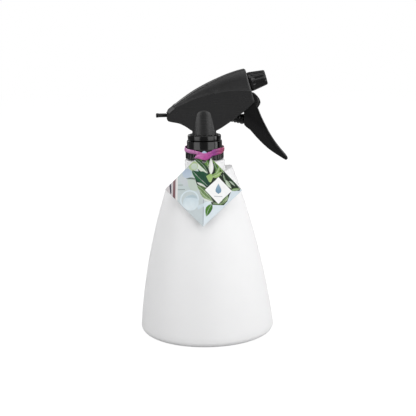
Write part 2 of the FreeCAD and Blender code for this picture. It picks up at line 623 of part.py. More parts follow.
for item in doc.Objects:
    if {"Invalid", "Error"} & set(item.State):
        raise SystemExit(f"{item.Name} did not build: {item.State}")
os.makedirs("parts", exist_ok=True)
for item in PIECES:
    shape = item.Shape
    if shape.isNull() or not shape.isValid():
        raise SystemExit(f"{item.Label} is not a valid shape")
    shape.exportStep(f"parts/{item.Label}.step")
    box = shape.optimalBoundingBox(True, False)
    print(f"{item.Label:16} {len(shape.Solids)} solid {shape.Volume / 1000:8.3f} cm3"
          f"  x {box.XMin:6.1f} {box.XMax:6.1f}  y {box.YMin:6.1f} {box.YMax:6.1f}"
          f"  z {box.ZMin:6.1f} {box.ZMax:6.1f}")
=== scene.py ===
# %% [markdown]
# # A plant mister, piece by piece
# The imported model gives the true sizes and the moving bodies. Every visible piece is then modelled again
# with bmesh, so that its edges catch the light, or keeps its own mesh and gets a better finish.

# %% Load the frame
import math

import bmesh
import bpy
from mathutils import Matrix, Vector


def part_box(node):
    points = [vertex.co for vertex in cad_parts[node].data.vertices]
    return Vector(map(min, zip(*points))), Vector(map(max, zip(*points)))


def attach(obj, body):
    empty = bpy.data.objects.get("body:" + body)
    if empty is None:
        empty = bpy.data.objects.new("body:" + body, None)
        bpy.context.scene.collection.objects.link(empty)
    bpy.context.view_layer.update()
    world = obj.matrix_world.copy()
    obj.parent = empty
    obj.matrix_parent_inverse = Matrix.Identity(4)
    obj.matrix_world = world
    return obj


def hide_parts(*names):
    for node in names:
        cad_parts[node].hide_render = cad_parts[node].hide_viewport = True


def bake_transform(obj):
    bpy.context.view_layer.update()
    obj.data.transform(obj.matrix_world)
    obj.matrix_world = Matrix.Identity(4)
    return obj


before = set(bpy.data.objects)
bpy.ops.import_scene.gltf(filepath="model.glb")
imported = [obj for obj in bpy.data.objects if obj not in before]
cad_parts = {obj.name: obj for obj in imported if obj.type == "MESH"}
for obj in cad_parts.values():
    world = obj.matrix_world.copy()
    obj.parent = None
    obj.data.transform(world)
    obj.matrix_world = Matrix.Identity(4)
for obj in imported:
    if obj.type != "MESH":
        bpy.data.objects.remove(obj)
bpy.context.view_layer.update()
MM = 0.001


def span(node):
    """Lowest and highest corner of a node in millimetres."""
    low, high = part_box(node)
    return Vector(low) / MM, Vector(high) / MM


# %% [markdown]
# ## Helpers for meshes
# Most pieces of a moulded pump are round, so a profile that is spun about its axis is the shortest way to
# them. Flat ribs and plates come from an outline that is extruded and bevelled. Sharp edges are found by
# angle, so that a bevel shades as a soft highlight, and the last helper turns the faces of closed pieces
# outward.

# %% Spinning a profile
def spun(profile, steps, closed=True):
    """A bmesh turned about Z from (radius, height) corners in millimetres."""
    bm = bmesh.new()
    ring = [bm.verts.new((radius, 0, height)) for radius, height in profile]
    pairs = list(zip(ring, ring[1:])) + ([(ring[-1], ring[0])] if closed else [])
    edges = [bm.edges.new(pair) for pair in pairs if pair[0] is not pair[1]]
    bmesh.ops.spin(bm, geom=ring + edges, cent=(0, 0, 0), axis=(0, 0, 1), dvec=(0, 0, 0),
                   angle=2 * math.pi, steps=steps, use_merge=True, use_duplicate=False)
    bmesh.ops.remove_doubles(bm, verts=bm.verts, dist=0.001)
    return bm


def softened(bm, width, angle=30, segments=2):
    """Bevel every edge sharper than the angle."""
    bmesh.ops.recalc_face_normals(bm, faces=bm.faces)
    sharp = [edge for edge in bm.edges if len(edge.link_faces) == 2
             and edge.calc_face_angle(0) > math.radians(angle)]
    bmesh.ops.bevel(bm, geom=sharp, offset=width, offset_type="OFFSET", segments=segments, profile=0.5,
                    affect="EDGES", clamp_overlap=True, material=-1)
    return bm


def plate(outline, low, high):
    """A bmesh plate from an (x, z) outline in millimetres, between two places along Y."""
    bm = bmesh.new()
    face = bm.faces.new([bm.verts.new((x, low, z)) for x, z in outline])
    grown = bmesh.ops.extrude_face_region(bm, geom=[face])
    verts = [item for item in grown["geom"] if isinstance(item, bmesh.types.BMVert)]
    bmesh.ops.translate(bm, verts=verts, vec=(0, high - low, 0))
    return bm


def smooth_run(points, count):
    """Evenly spread points on a smooth curve through given ones."""
    points = [Vector(point) for point in points]
    ends = [2 * points[0] - points[1]] + points + [2 * points[-1] - points[-2]]
    run = []
    for step in range(count):
        place = step / (count - 1) * (len(points) - 1)
        index = min(int(place), len(points) - 2)
        part = place - index
        before, start, end, after = ends[index:index + 4]
        run.append(0.5 * (2 * start + (end - before) * part
                          + (2 * before - 5 * start + 4 * end - after) * part ** 2
                          + (3 * start - before - 3 * end + after) * part ** 3))
    return run


def arc(centre, radius, start, end, steps):
    """Points (across, up) on an arc, with its angles in degrees."""
    turns = [math.radians(start + (end - start) * step / steps) for step in range(steps + 1)]
    return [(centre[0] + radius * math.cos(turn), centre[1] + radius * math.sin(turn)) for turn in turns]


def joined(*parts):
    """One bmesh that holds several."""
    whole = bmesh.new()
    for part in parts:
        held = bpy.data.meshes.new("part")
        part.to_mesh(held)
        part.free()
        whole.from_mesh(held)
        bpy.data.meshes.remove(held)
    return whole


def aimed(bm, foot, tilt):
    """Turn a bmesh so that its own +Z points tilt degrees above +X, then stand it on foot."""
    matrix = Matrix.Translation(Vector(foot)) @ Matrix.Rotation(math.radians(90 - tilt), 4, "Y")
    bmesh.ops.transform(bm, matrix=matrix, verts=bm.verts)
    return bm


# %% Turning a bmesh into a finished piece
def finished(name, bm, material, body, replaced=(), sharp=38, normals=True):
    """Scale to metres, fix normals, shade by angle, and hand the piece to its body.
    A body of (first, second, start, end) is not read beyond being a tuple: the piece's transform is only
    baked, and it is handed to no body."""
    if normals:
        bmesh.ops.recalc_face_normals(bm, faces=bm.faces)
    bmesh.ops.scale(bm, vec=(MM, MM, MM), verts=bm.verts)
    mesh = bpy.data.meshes.new(name)
    bm.to_mesh(mesh)
    bm.free()
    for polygon in mesh.polygons:
        polygon.use_smooth = True
    mesh.set_sharp_from_angle(angle=math.radians(sharp))
    piece = bpy.data.objects.new(name, mesh)
    bpy.context.scene.collection.objects.link(piece)
    mesh.materials.append(material)
    if isinstance(body, tuple):
        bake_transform(piece)
    else:
        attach(piece, body)
    if replaced:
        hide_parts(*replaced)
    print(f"{name}: {len(mesh.polygons)} faces on {body}")
    return piece


# %% [markdown]
# ## Finishes
# A moulded plastic is never one flat colour: the colour wanders a little, the gloss is uneven where hands
# and the mould touched it, and the skin has a fine grain. One material builder makes them all, and each
# finish is a few numbers. Patterns read Object coordinates, so they stay on the piece when it moves.

# %% A builder for moulded plastics
def moulded(name, colour, rough, grain=0.02, grain_size=1800, wander=0.12, waves=0.0, coat=0.0,
            scratches=0.06, ior=1.5, subsurface=0.0):
    """A procedural plastic: wandering colour, uneven gloss, fine grain and a few hair scratches."""
    material = bpy.data.materials.new(name)
    material.use_nodes = True
    nodes, links = material.node_tree.nodes, material.node_tree.links
    shader = nodes["Principled BSDF"]
    shader.inputs["IOR"].default_value = ior
    shader.inputs["Coat Weight"].default_value = coat
    shader.inputs["Coat Roughness"].default_value = 0.08
    shader.inputs["Subsurface Weight"].default_value = subsurface
    shader.inputs["Subsurface Radius"].default_value = (0.004, 0.004, 0.004)
    shader.inputs["Subsurface Scale"].default_value = 1.0
    place = nodes.new("ShaderNodeTexCoord")

    def noise(scale, detail):
        texture = nodes.new("ShaderNodeTexNoise")
        texture.inputs["Scale"].default_value = scale
        texture.inputs["Detail"].default_value = detail
        links.new(place.outputs["Object"], texture.inputs["Vector"])
        return texture

    cloud = noise(45, 5)
    ramp = nodes.new("ShaderNodeValToRGB")
    ramp.color_ramp.elements[0].position = 0.3
    ramp.color_ramp.elements[1].position = 0.72
    ramp.color_ramp.elements[0].color = (*[part * (1 - wander) for part in colour], 1)
    ramp.color_ramp.elements[1].color = (*[min(part * (1 + wander * 0.6), 1) for part in colour], 1)
    links.new(cloud.outputs["Fac"], ramp.inputs["Fac"])
    links.new(ramp.outputs["Color"], shader.inputs["Base Color"])

    smear = noise(130, 6)
    scratch = noise(260, 3)
    scratch.inputs["Distortion"].default_value = 3.0
    stretch = nodes.new("ShaderNodeMapping")
    stretch.inputs["Scale"].default_value = (0.08, 1.0, 2.2)
    stretch.inputs["Rotation"].default_value = (0.2, 0.5, 0.1)
    links.new(place.outputs["Object"], stretch.inputs["Vector"])
    links.new(stretch.outputs["Vector"], scratch.inputs["Vector"])
    hair = nodes.new("ShaderNodeMapRange")
    hair.inputs["From Min"].default_value = 0.62
    hair.inputs["From Max"].default_value = 0.68
    hair.inputs["To Max"].default_value = scratches
    links.new(scratch.outputs["Fac"], hair.inputs["Value"])
    gloss = nodes.new("ShaderNodeMapRange")
    gloss.inputs["To Min"].default_value = rough * 0.8
    gloss.inputs["To Max"].default_value = rough * 1.25
    links.new(smear.outputs["Fac"], gloss.inputs["Value"])
    total = nodes.new("ShaderNodeMath")
    total.operation = "ADD"
    links.new(gloss.outputs["Result"], total.inputs[0])
    links.new(hair.outputs["Result"], total.inputs[1])
    links.new(total.outputs["Value"], shader.inputs["Roughness"])

    fine = noise(grain_size, 2)
    bump = nodes.new("ShaderNodeBump")
    bump.inputs["Strength"].default_value = grain
    bump.inputs["Distance"].default_value = 0.0004
    links.new(fine.outputs["Fac"], bump.inputs["Height"])
    last = bump
    if waves:
        broad = noise(28, 2)
        swell = nodes.new("ShaderNodeBump")
        swell.inputs["Strength"].default_value = waves
        swell.inputs["Distance"].default_value = 0.002
        links.new(broad.outputs["Fac"], swell.inputs["Height"])
        links.new(bump.outputs["Normal"], swell.inputs["Normal"])
        last = swell
    links.new(last.outputs["Normal"], shader.inputs["Normal"])
    return material


# %% The plastics, rubber and steel of this mister
white_bottle = moulded("white_bottle", (0.80, 0.80, 0.805), 0.48, grain=0.015, grain_size=900, wander=0.012,
                       waves=0.04, scratches=0.05, subsurface=0.05)
black_gloss = moulded("black_gloss", (0.0022, 0.0022, 0.0025), 0.15, grain=0.01, grain_size=1500, wander=0.2,
                      scratches=0.05)
grey_shell = moulded("grey_shell", (0.0175, 0.0175, 0.018), 0.25, grain=0.2, grain_size=2600, wander=0.08,
                     scratches=0.05)
milky_plastic = moulded("milky_plastic", (0.66, 0.66, 0.62), 0.42, grain=0.08, wander=0.05, subsurface=0.1)
clear_tube = moulded("clear_tube", (0.72, 0.75, 0.76), 0.2, grain=0.03, wander=0.04, subsurface=0.15)
clear_tube.node_tree.nodes["Principled BSDF"].inputs["Transmission Weight"].default_value = 0.55
dark_seal = moulded("dark_seal", (0.02, 0.02, 0.02), 0.6, grain=0.15, wander=0.15)
bright_steel = moulded("bright_steel", (0.56, 0.56, 0.57), 0.25, grain=0.04, wander=0.06)
bright_steel.node_tree.nodes["Principled BSDF"].inputs["Metallic"].default_value = 1.0
NODE_FINISH = {
    "pump_body": milky_plastic, "valve_seat": milky_plastic, "spout": milky_plastic,
    "trigger_pin": milky_plastic, "swirl_core": milky_plastic, "dip_tube": clear_tube,
    "neck_gasket": dark_seal, "piston_seal": dark_seal, "nozzle_seal": dark_seal,
    "inlet_ball": bright_steel, "outlet_ball": bright_steel, "outlet_spring": bright_steel,
}
for node, material in NODE_FINISH.items():
    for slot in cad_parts[node].material_slots:
        slot.material = material
print("nodes that keep their own mesh:", len(NODE_FINISH))

# %% [markdown]
# ## The bottle
# The bottle is blow-moulded in one piece: a round body that swells towards its base and leans back a
# little, a shoulder cut off at a slant, and an upright neck. A subdivided cylinder could be pulled into
# this shape, but a spun profile gives the exact swell. The rings are then shifted for the lean, a plane
# cuts the shoulder off, and the cut edge is bridged to a ring at the neck's foot and bevelled.

# %% The bottle's body, shoulder and neck
BASE_RADIUS, TAPER, BELLY = 60.95, 0.0967, 0.000889
LEAN, LEAN_BACK = 0.02864, 0.0001023
SHOULDER_UP, SHOULDER_TILT = 141.7, math.radians(18.5)
NECK_RADIUS, NECK_TOP = 17.9, 156.0
BOTTLE_STEPS = 128
FINISH_RADIUS, FINISH_BORE, FINISH_TOP = 12.6, 10.8, 169.4
THREAD_DEEP, THREAD_WIDE, THREAD_PITCH = 1.1, 2.2, 4.233
THREAD_TURNS, THREAD_LOW = 1.25, 159.3


def body_radius(up):
    """The round body's radius at a height: a straight taper and a slight belly."""
    return BASE_RADIUS - TAPER * up - BELLY * up ** 2


def shoulder_height(x):
    """Height of the slanted shoulder's plane."""
    return SHOULDER_UP + math.tan(SHOULDER_TILT) * x


def make_bottle():
    corner = 5.0
    wall = [(body_radius(corner) - corner + across, up)
            for across, up in arc((0, corner), corner, -90, -3, 8)]
    wall += [(body_radius(up), up) for up in range(9, 160, 5)]
    bm = spun([(0.0, 0.0), (wall[0][0] * 0.5, 0.0)] + wall, BOTTLE_STEPS, closed=False)
    for vert in bm.verts:
        vert.co.x += -LEAN * vert.co.z + LEAN_BACK * vert.co.z ** 2
    normal = Vector((-math.sin(SHOULDER_TILT), 0, math.cos(SHOULDER_TILT)))
    bmesh.ops.bisect_plane(bm, geom=bm.verts[:] + bm.edges[:] + bm.faces[:], dist=0.0001,
                           plane_co=(0, 0, SHOULDER_UP), plane_no=normal, clear_outer=True)
    bmesh.ops.remove_doubles(bm, verts=bm.verts, dist=0.01)
    rim = [edge for edge in bm.edges if edge.is_boundary]
    foot = bmesh.ops.extrude_edge_only(bm, edges=rim)
    ring = [item for item in foot["geom"] if isinstance(item, bmesh.types.BMVert)]
    for vert in ring:
        flat = Vector((vert.co.x, vert.co.y, 0)).normalized() * NECK_RADIUS
        vert.co = Vector((flat.x, flat.y, shoulder_height(flat.x)))
    shoulder_edge = [edge for edge in bm.edges if len(edge.link_faces) == 2
                     and edge.calc_face_angle(0) > math.radians(40) and edge.verts[0].co.z > 100]
    bmesh.ops.bevel(bm, geom=shoulder_edge, offset=2.6, offset_type="OFFSET", segments=5, profile=0.5,
                    affect="EDGES", clamp_overlap=True, material=-1)
    steps = [(NECK_RADIUS, NECK_TOP - 0.8), (NECK_RADIUS - 0.8, NECK_TOP), (FINISH_RADIUS, NECK_TOP),
             (FINISH_RADIUS, FINISH_TOP - 0.4), (FINISH_RADIUS - 0.4, FINISH_TOP),
             (FINISH_BORE + 0.4, FINISH_TOP), (FINISH_BORE, FINISH_TOP - 0.4), (FINISH_BORE, 154.4)]
    for radius, up in steps:
        rim = [edge for edge in bm.edges if edge.is_boundary]
        grown = bmesh.ops.extrude_edge_only(bm, edges=rim)
        for item in grown["geom"]:
            if isinstance(item, bmesh.types.BMVert):
                flat = Vector((item.co.x, item.co.y, 0)).normalized() * radius
                item.co = Vector((flat.x, flat.y, up))
        if (radius, up) == steps[0]:
            foot_edges = [edge for edge in bm.edges if len(edge.link_faces) == 2
                          and all(abs(math.hypot(v.co.x, v.co.y) - NECK_RADIUS) < 0.05 for v in edge.verts)
                          and all(v.co.z < NECK_TOP - 1 for v in edge.verts)
                          and edge.calc_face_angle(0) > math.radians(30)]
    bmesh.ops.bevel(bm, geom=[edge for edge in foot_edges if edge.is_valid], offset=1.2,
                    offset_type="OFFSET", segments=3, profile=0.5, affect="EDGES", clamp_overlap=True,
                    material=-1)
    return bm


def make_finish_thread(radius, deep, pitch, turns, low, wide, start, inward=False):
    """A thread's ridge: its section spun while it climbs."""
    side = -1 if inward else 1
    bm = bmesh.new()
    section = [(radius - 0.2 * side, -wide / 2), (radius + deep * side, -wide / 4),
               (radius + deep * side, wide / 4), (radius - 0.2 * side, wide / 2)]
    first = [bm.verts.new((across, 0, low + up)) for across, up in section]
    bmesh.ops.rotate(bm, verts=first, cent=(0, 0, 0), matrix=Matrix.Rotation(math.radians(start), 3, "Z"))
    edges = [bm.edges.new((first[index], first[index - 1])) for index in range(4)]
    steps = int(turns * 48)
    bmesh.ops.spin(bm, geom=first + edges, cent=(0, 0, 0), axis=(0, 0, 1), dvec=(0, 0, pitch / 48),
                   angle=2 * math.pi * steps / 48, steps=steps, use_merge=False, use_duplicate=False)
    bmesh.ops.holes_fill(bm, edges=bm.edges, sides=4)
    return bm


neck_thread = make_finish_thread(FINISH_RADIUS, THREAD_DEEP, THREAD_PITCH, THREAD_TURNS, THREAD_LOW,
                                 THREAD_WIDE, 15)
bottle = finished("bottle_skin", joined(make_bottle(), neck_thread), white_bottle, "bottle", ["bottle"],
                  sharp=50)
solidify = bottle.modifiers.new("wall", "SOLIDIFY")
solidify.thickness = 1.0 * MM
solidify.offset = -1

# %% [markdown]
# ## The collar and the ring above it
# The collar screws the pump to the bottle. Its skirt has fine upright grips for wet fingers. They could
# be a bump in the material, but real grooves break up the highlight, so the spun wall is pushed in and
# out around its skirt.

# %% Collar with grips, and the plain ring
collar_low, collar_high = span("collar")
SKIRT_RADIUS = collar_high.x
COLLAR_BORE = 14.05
GRIPS = 36


def make_collar():
    low, top = collar_low.z, collar_high.z
    skirt_top = low + 8.6
    profile = [(14.1, low + 0.3), (14.4, low), (SKIRT_RADIUS - 0.6, low), (SKIRT_RADIUS - 0.15, low + 0.2),
               (SKIRT_RADIUS, low + 0.6), (SKIRT_RADIUS, low + 1.2), (SKIRT_RADIUS, skirt_top - 1.0),
               (SKIRT_RADIUS, skirt_top - 0.5), (SKIRT_RADIUS - 0.15, skirt_top - 0.15),
               (SKIRT_RADIUS - 0.5, skirt_top), (15.85, skirt_top + 0.35), (15.65, skirt_top + 0.8),
               (15.65, top - 0.8), (15.45, top - 0.25), (15.0, top), (10.2, top), (9.9, top - 0.3),
               (9.9, top - 1.25), (COLLAR_BORE, top - 1.25), (COLLAR_BORE, low + 0.5)]
    bm = spun(profile, GRIPS * 8)
    for vert in bm.verts:
        radius = math.hypot(vert.co.x, vert.co.y)
        if radius > SKIRT_RADIUS - 0.2 and low + 1.0 < vert.co.z < skirt_top - 0.8:
            wave = math.cos(math.atan2(vert.co.y, vert.co.x) * GRIPS)
            deep = 0.5 * (0.5 - 0.5 * max(min(wave * 2.4, 1), -1))
            vert.co.x *= (radius - deep) / radius
            vert.co.y *= (radius - deep) / radius
    return bm


collar_thread = make_finish_thread(COLLAR_BORE, THREAD_DEEP, THREAD_PITCH, THREAD_TURNS, THREAD_LOW - 0.015,
                                   THREAD_WIDE, 195, inward=True)
finished("collar_skirt", joined(make_collar(), collar_thread), black_gloss, "collar", ["collar"])

ring_low, ring_high = span("retaining_ring")
ring_profile = ([(9.6, ring_low.z), (ring_high.x - 0.5, ring_low.z), (ring_high.x, ring_low.z + 0.5)]
                + arc((ring_high.x - 0.8, ring_high.z - 0.8), 0.8, 0, 90, 5)
                + [(13.2, ring_high.z), (13.0, ring_high.z - 0.25), (9.6, ring_high.z - 0.25)])
finished("neck_ring", spun(ring_profile, 96), black_gloss, "head", ["retaining_ring"])

# %% [markdown]
# ## The shroud
# The grey cover is a thin moulded shell. Seen from the side it is a wing: a curved back, a slanted front
# and a soft crease where its flanks are widest. Box modelling could reach it, but a row of cross-
# sections, bridged one to the next, keeps the crease and the back where the pump inside needs them.
# Solidify gives it its wall.

# %% Cross-sections along the wing
BACK = [(-32.4, 198.7), (-28.6, 202.3), (-24.5, 206.0), (-17.3, 211.3), (-10.2, 216.0), (-3.1, 220.0),
        (4.0, 223.6), (11.1, 226.8), (18.2, 229.8), (25.2, 232.3), (31.6, 234.2), (36.5, 235.2)]
BELLY_LINE = [(-32.6, 193.4), (-30.6, 190.9), (-21.8, 189.0), (-15.5, 185.7), (-11.0, 182.6), (-4.5, 180.8),
              (4.0, 180.8), (11.0, 182.3), (19.5, 187.4), (28.5, 193.9), (37.2, 200.4), (44.25, 207.3)]
CREASE = [(-36, 195.0), (-24, 202.4), (-7.5, 210.0), (1.2, 212.7), (9.9, 214.7), (19.4, 216.7),
          (29.8, 217.5), (46, 216.5)]
FLANK = [(-40, 8.6, 9.5, 5.6), (-14, 9.0, 12.6, 6.8), (14, 8.3, 14.6, 8.2), (50, 9.2, 15.2, 9.6)]
FLANK_LOW, FLANK_TOP = 180, 240
SLOT_HALF = 7.6
STATIONS = 45


def between(table, x):
    """Straight-line reading of a table of rows that start with x."""
    for left, right in zip(table, table[1:]):
        if x <= right[0] or right is table[-1]:
            part = min(max((x - left[0]) / (right[0] - left[0]), 0), 1)
            return [a + (b - a) * part for a, b in zip(left[1:], right[1:])]


def half_width(x, up, crease_up):
    """Half the cover's width, from FLANK's rows of x and the widths low, at the crease and at the top."""
    low, widest, top = between(FLANK, x)
    if up <= crease_up:
        return low + (widest - low) * (up - FLANK_LOW) / (crease_up - FLANK_LOW)
    return widest + (top - widest) * (up - crease_up) / (FLANK_TOP - crease_up)


def shroud_section(top, foot):
    """Corners of one slanted section, from the slot's edge round the near side to the far side."""
    def at(part):
        return foot + (top - foot) * part

    tall = (top - foot).length
    crease_up = between(CREASE, (top.x + foot.x) / 2 + 1.5)[0]
    crease_part = min(max((crease_up - foot.y) / (top.y - foot.y), 0.3), 0.85)
    rows = [0.0, 0.4 / tall, 1.1 / tall, crease_part * 0.5, crease_part - 0.4 / tall, crease_part,
            crease_part + 0.4 / tall, (1 + crease_part) / 2, 1 - 1.4 / tall, 1 - 1.1 / tall, 1 - 0.25 / tall,
            1.0]
    drawn = [0.7, 0.15, 0, 0, 0.0, -0.1, 0.0, 0, -0.04, 0.16, 1.0, 1.35]
    half = []
    for part, inward in zip(rows, drawn):
        place = at(part)
        half.append((place, max(half_width(place.x, place.y, crease_up) - inward, 1.0)))
    loop = [Vector((foot.x, -min(SLOT_HALF, half[0][1] - 0.3), foot.y))]
    loop += [Vector((place.x, -wide, place.y)) for place, wide in half]
    loop += [Vector((top.x, side * half[-1][1] * 0.5, top.y + 0.12)) for side in (-1, 1)]
    loop += [Vector((place.x, wide, place.y)) for place, wide in reversed(half)]
    loop += [Vector((foot.x, min(SLOT_HALF, half[0][1] - 0.3), foot.y))]
    return loop


def make_shroud():
    bm = bmesh.new()
    backs, feet = smooth_run(BACK, STATIONS), smooth_run(BELLY_LINE, STATIONS)
    last = None
    for number, (top, foot) in enumerate(zip(backs, feet)):
        verts = [bm.verts.new(point) for point in shroud_section(top, foot)]
        edges = [bm.edges.new((verts[index], verts[index - 1])) for index in range(1, len(verts))]
        closing = bm.edges.new((verts[0], verts[-1]))
        if last:
            bmesh.ops.bridge_loops(bm, edges=last + edges + [closing])
        last = edges + [closing]
        if number == 0:
            tail = verts
    front = verts
    bm.faces.new(tail)
    slot = [face for face in bm.faces if face.calc_center_median().x > 15
            and abs(face.calc_center_median().y) < 0.5 and face.normal.length > 0
            and all(abs(abs(vert.co.y) - SLOT_HALF) < 0.01 for vert in face.verts)]
    bmesh.ops.delete(bm, geom=slot, context="FACES_ONLY")
    foot, top = feet[-1], backs[-1]
    sill = foot + (top - foot) * ((215.9 - foot.y) / (top.y - foot.y))
    lintel = [bm.verts.new((sill.x, side * SLOT_HALF, sill.y)) for side in (1, -1)]
    bm.faces.new(front + lintel)
    bmesh.ops.recalc_face_normals(bm, faces=bm.faces)
    rim = [edge for edge in bm.edges if edge.calc_length() > 0 and len(edge.link_faces) == 2
           and all(vert in front for vert in edge.verts)]
    bmesh.ops.bevel(bm, geom=rim, offset=0.8, offset_type="OFFSET", segments=1, profile=0.5, affect="EDGES",
                    clamp_overlap=True, material=-1)
    tail_rim = [edge for edge in bm.edges if edge.is_valid and all(vert in tail for vert in edge.verts)
                and len(edge.link_faces) == 2]
    bmesh.ops.bevel(bm, geom=tail_rim, offset=1.0, offset_type="OFFSET", segments=3, profile=0.5,
                    affect="EDGES", clamp_overlap=True, material=-1)
    return bm


ROD_HALF, ROD_LOW = 7.0, 186  # the room that the piston rod needs inside the cover


def make_stem():
    """The round stem that runs up into the flanks and ends in a dome, open inside for the rod."""
    radius = 12.7
    base = ring_high.z + 0.15
    shoulder, crown = 197.0, 5.0
    profile = [(11.2, base), (radius - 0.3, base), (radius, base + 0.3), (radius, shoulder)]
    profile += [(radius - 4.0 + 4.0 * math.cos(turn), shoulder + crown * math.sin(turn))
                for turn in [math.radians(step * 9) for step in range(1, 11)]]
    bm = spun(profile + [(0.0, shoulder + crown), (0.0, shoulder + crown - 1.4), (11.2, shoulder - 2.0)], 96)
    hidden = [face for face in bm.faces
              if abs(face.calc_center_median().y) < ROD_HALF and face.calc_center_median().z > ROD_LOW]
    bmesh.ops.delete(bm, geom=hidden, context="FACES")
    return bm


shroud = finished("shroud_shell", make_shroud(), grey_shell, "head", ["shroud"], sharp=50)
wall = shroud.modifiers.new("wall", "SOLIDIFY")
wall.thickness = 1.4 * MM
wall.offset = -1
finished("shroud_stem", make_stem(), grey_shell, "head")

# %% [markdown]
# ## The trigger
# The trigger is a channel: a curved front strip for the fingers and two flanges behind it, with a round
# knuckle at the top where it swings on its pin. The flanges, the knuckle and the rib that pushes the rod
# are outlines, extruded and bevelled. The strip is one chamfered section carried down the front line. It
# stands a little proud of the flanges.

# %% Front strip, flanges and knuckle
FINGER_LINE = [(47.4, 201.7), (50.2, 194.6), (53.7, 187.2), (57.8, 179.4), (62.9, 171.2), (68.2, 164.1),
               (73.1, 158.3)]
KNUCKLE = [(41.6, 214.4), (44.6, 213.9), (48.2, 210.4), (49.6, 207.0), (49.2, 204.6), (47.4, 201.7)]
STRIP_HALF, STRIP_CHAMFER = 8.4, 0.6
FLANGE_IN, FLANGE_OUT = 5.0, 7.0


def finger_strip(front, skin, half, chamfer):
    """The strip under the fingers: one chamfered section carried down the front line."""
    bm = bmesh.new()
    last = None
    for point, under in zip(front, skin):
        thick = (under - point).length
        section = [(-half + chamfer, 0), (half - chamfer, 0), (half, chamfer), (half, thick - 0.2),
                   (half - 0.2, thick), (-half + 0.2, thick), (-half, thick - 0.2), (-half, chamfer)]
        verts = []
        for across, deep in section:
            place = point + (under - point) * (deep / thick)
            verts.append(bm.verts.new((place.x, across, place.y)))
        loop_edges = [bm.edges.new((verts[index], verts[index - 1])) for index in range(len(verts))]
        if last:
            bmesh.ops.bridge_loops(bm, edges=last + loop_edges)
        else:
            bm.faces.new(verts)
        last = loop_edges
    bm.faces.new(verts)
    return bm


def make_trigger():
    front = smooth_run(FINGER_LINE, 25)
    knuckle = smooth_run(KNUCKLE, 12)
    over = knuckle[:-1] + front
    skin = []
    for index, point in enumerate(over):
        ahead = over[min(index + 1, len(over) - 1)] - over[max(index - 1, 0)]
        skin.append(point + Vector((ahead.y, -ahead.x)).normalized() * 1.25)
    parts = []
    knuckle_count = len(knuckle)
    crown = [tuple(p) for p in over[:knuckle_count]] + [tuple(p) for p in reversed(skin[:knuckle_count])]
    parts.append(softened(plate(crown, -FLANGE_OUT, FLANGE_OUT), 0.3))
    parts.append(finger_strip(over[knuckle_count - 1:], skin[knuckle_count - 1:], STRIP_HALF, STRIP_CHAMFER))
    rear = [(36.2, 203.5), (35.7, 198.8), (35.0, 189.5), (35.3, 186.6), (36.6, 185.2)]
    rear += [tuple(p) for p in smooth_run([(40.4, 182.2), (48.2, 173.2), (57.6, 164.4), (69.2, 156.5)], 14)]
    tip = [(71.0, 155.5), (72.4, 155.8)]
    inner = [tuple(point + (under - point) * 0.6) for point, under in zip(over, skin)]
    outline = rear + tip + inner[::-1][1:] + [(38.4, 212.0)]
    for low, high in ((-FLANGE_OUT, -FLANGE_IN), (FLANGE_IN, FLANGE_OUT)):
        parts.append(softened(plate(outline, low, high), 0.25))
    hammer = plate([(39.2, 186.6), (37.7, 187.0), (37.6, 193.6), (39.2, 194.4)], -5.1, 5.1)
    web = plate([(47.9, 196.0), (47.2, 191.4), (38.6, 186.8), (38.6, 194.2)], -1.0, 1.0)
    parts += [softened(hammer, 0.2), softened(web, 0.2)]
    foot = plate([(69.4, 156.9), (71.0, 155.4), (72.4, 155.4), (73.4, 156.6), (73.2, 158.2), (72.0, 158.7)],
                 -STRIP_HALF, STRIP_HALF)
    parts.append(softened(foot, 0.35, segments=3))
    return joined(*parts)


finished("trigger_lever", make_trigger(), black_gloss, "trigger", ["trigger"], sharp=42)

# %% [markdown]
# ## Nozzle, piston and tail pin
# All three are turned pieces. The nozzle's flutes are pushed in after the spin, as the collar's grips
# are, and the piston's rod has the shallow ribs of a hollow moulding. The return spring inside the rod is
# a wire section that climbs as it spins. It shortens with the rod; here it stays where it is built, with
# its transform baked.

# %% Nozzle cap on its rising axis
NOZZLE_FOOT, NOZZLE_RISE = (40.85, 0, 223.85), 15.65
FLUTES = 12


def make_nozzle():
    long, rear, front = 14.6, 8.4, 6.45
    profile = [(5.2, -0.6), (5.6, -0.8), (rear - 0.4, -0.8), (rear - 0.1, -0.6), (rear, -0.2), (rear, 1.6),
               (rear - 0.1, 2.0)]
    for step in range(1, 9):
        up = 2.0 + (long - 3.0) * step / 8
        profile.append((rear + (front - rear) * (up - 1.6) / (long - 1.6), up))
    profile += [(front - 0.05, long - 0.6), (front - 0.3, long - 0.2), (front - 0.7, long), (3.4, long),
                (3.0, long - 0.3), (2.2, long - 1.1), (0.6, long - 1.3), (0.5, 12.7), (5.0, 12.6),
                (5.0, 0.6)]
    bm = spun(profile, FLUTES * 12)
    for vert in bm.verts:
        radius = math.hypot(vert.co.x, vert.co.y)
        if vert.co.z > 1.9 and radius > front - 0.45 and vert.co.z < long - 0.1:
            wave = math.cos(math.atan2(vert.co.y, vert.co.x) * FLUTES)
            rise = min((vert.co.z - 1.9) / 0.5, 1)
            deep = 0.7 * rise * (0.5 - 0.5 * max(min(wave * 1.6, 1), -1))
            vert.co.x *= (radius - deep) / radius
            vert.co.y *= (radius - deep) / radius
    return aimed(bm, NOZZLE_FOOT, NOZZLE_RISE)


finished("nozzle_cap_fluted", make_nozzle(), black_gloss, "nozzle", ["nozzle_cap"], sharp=45)

# %% Piston rod and tail pin
PUMP_FOOT, PUMP_FALL = (35.5, 0, 191.0), 13.0


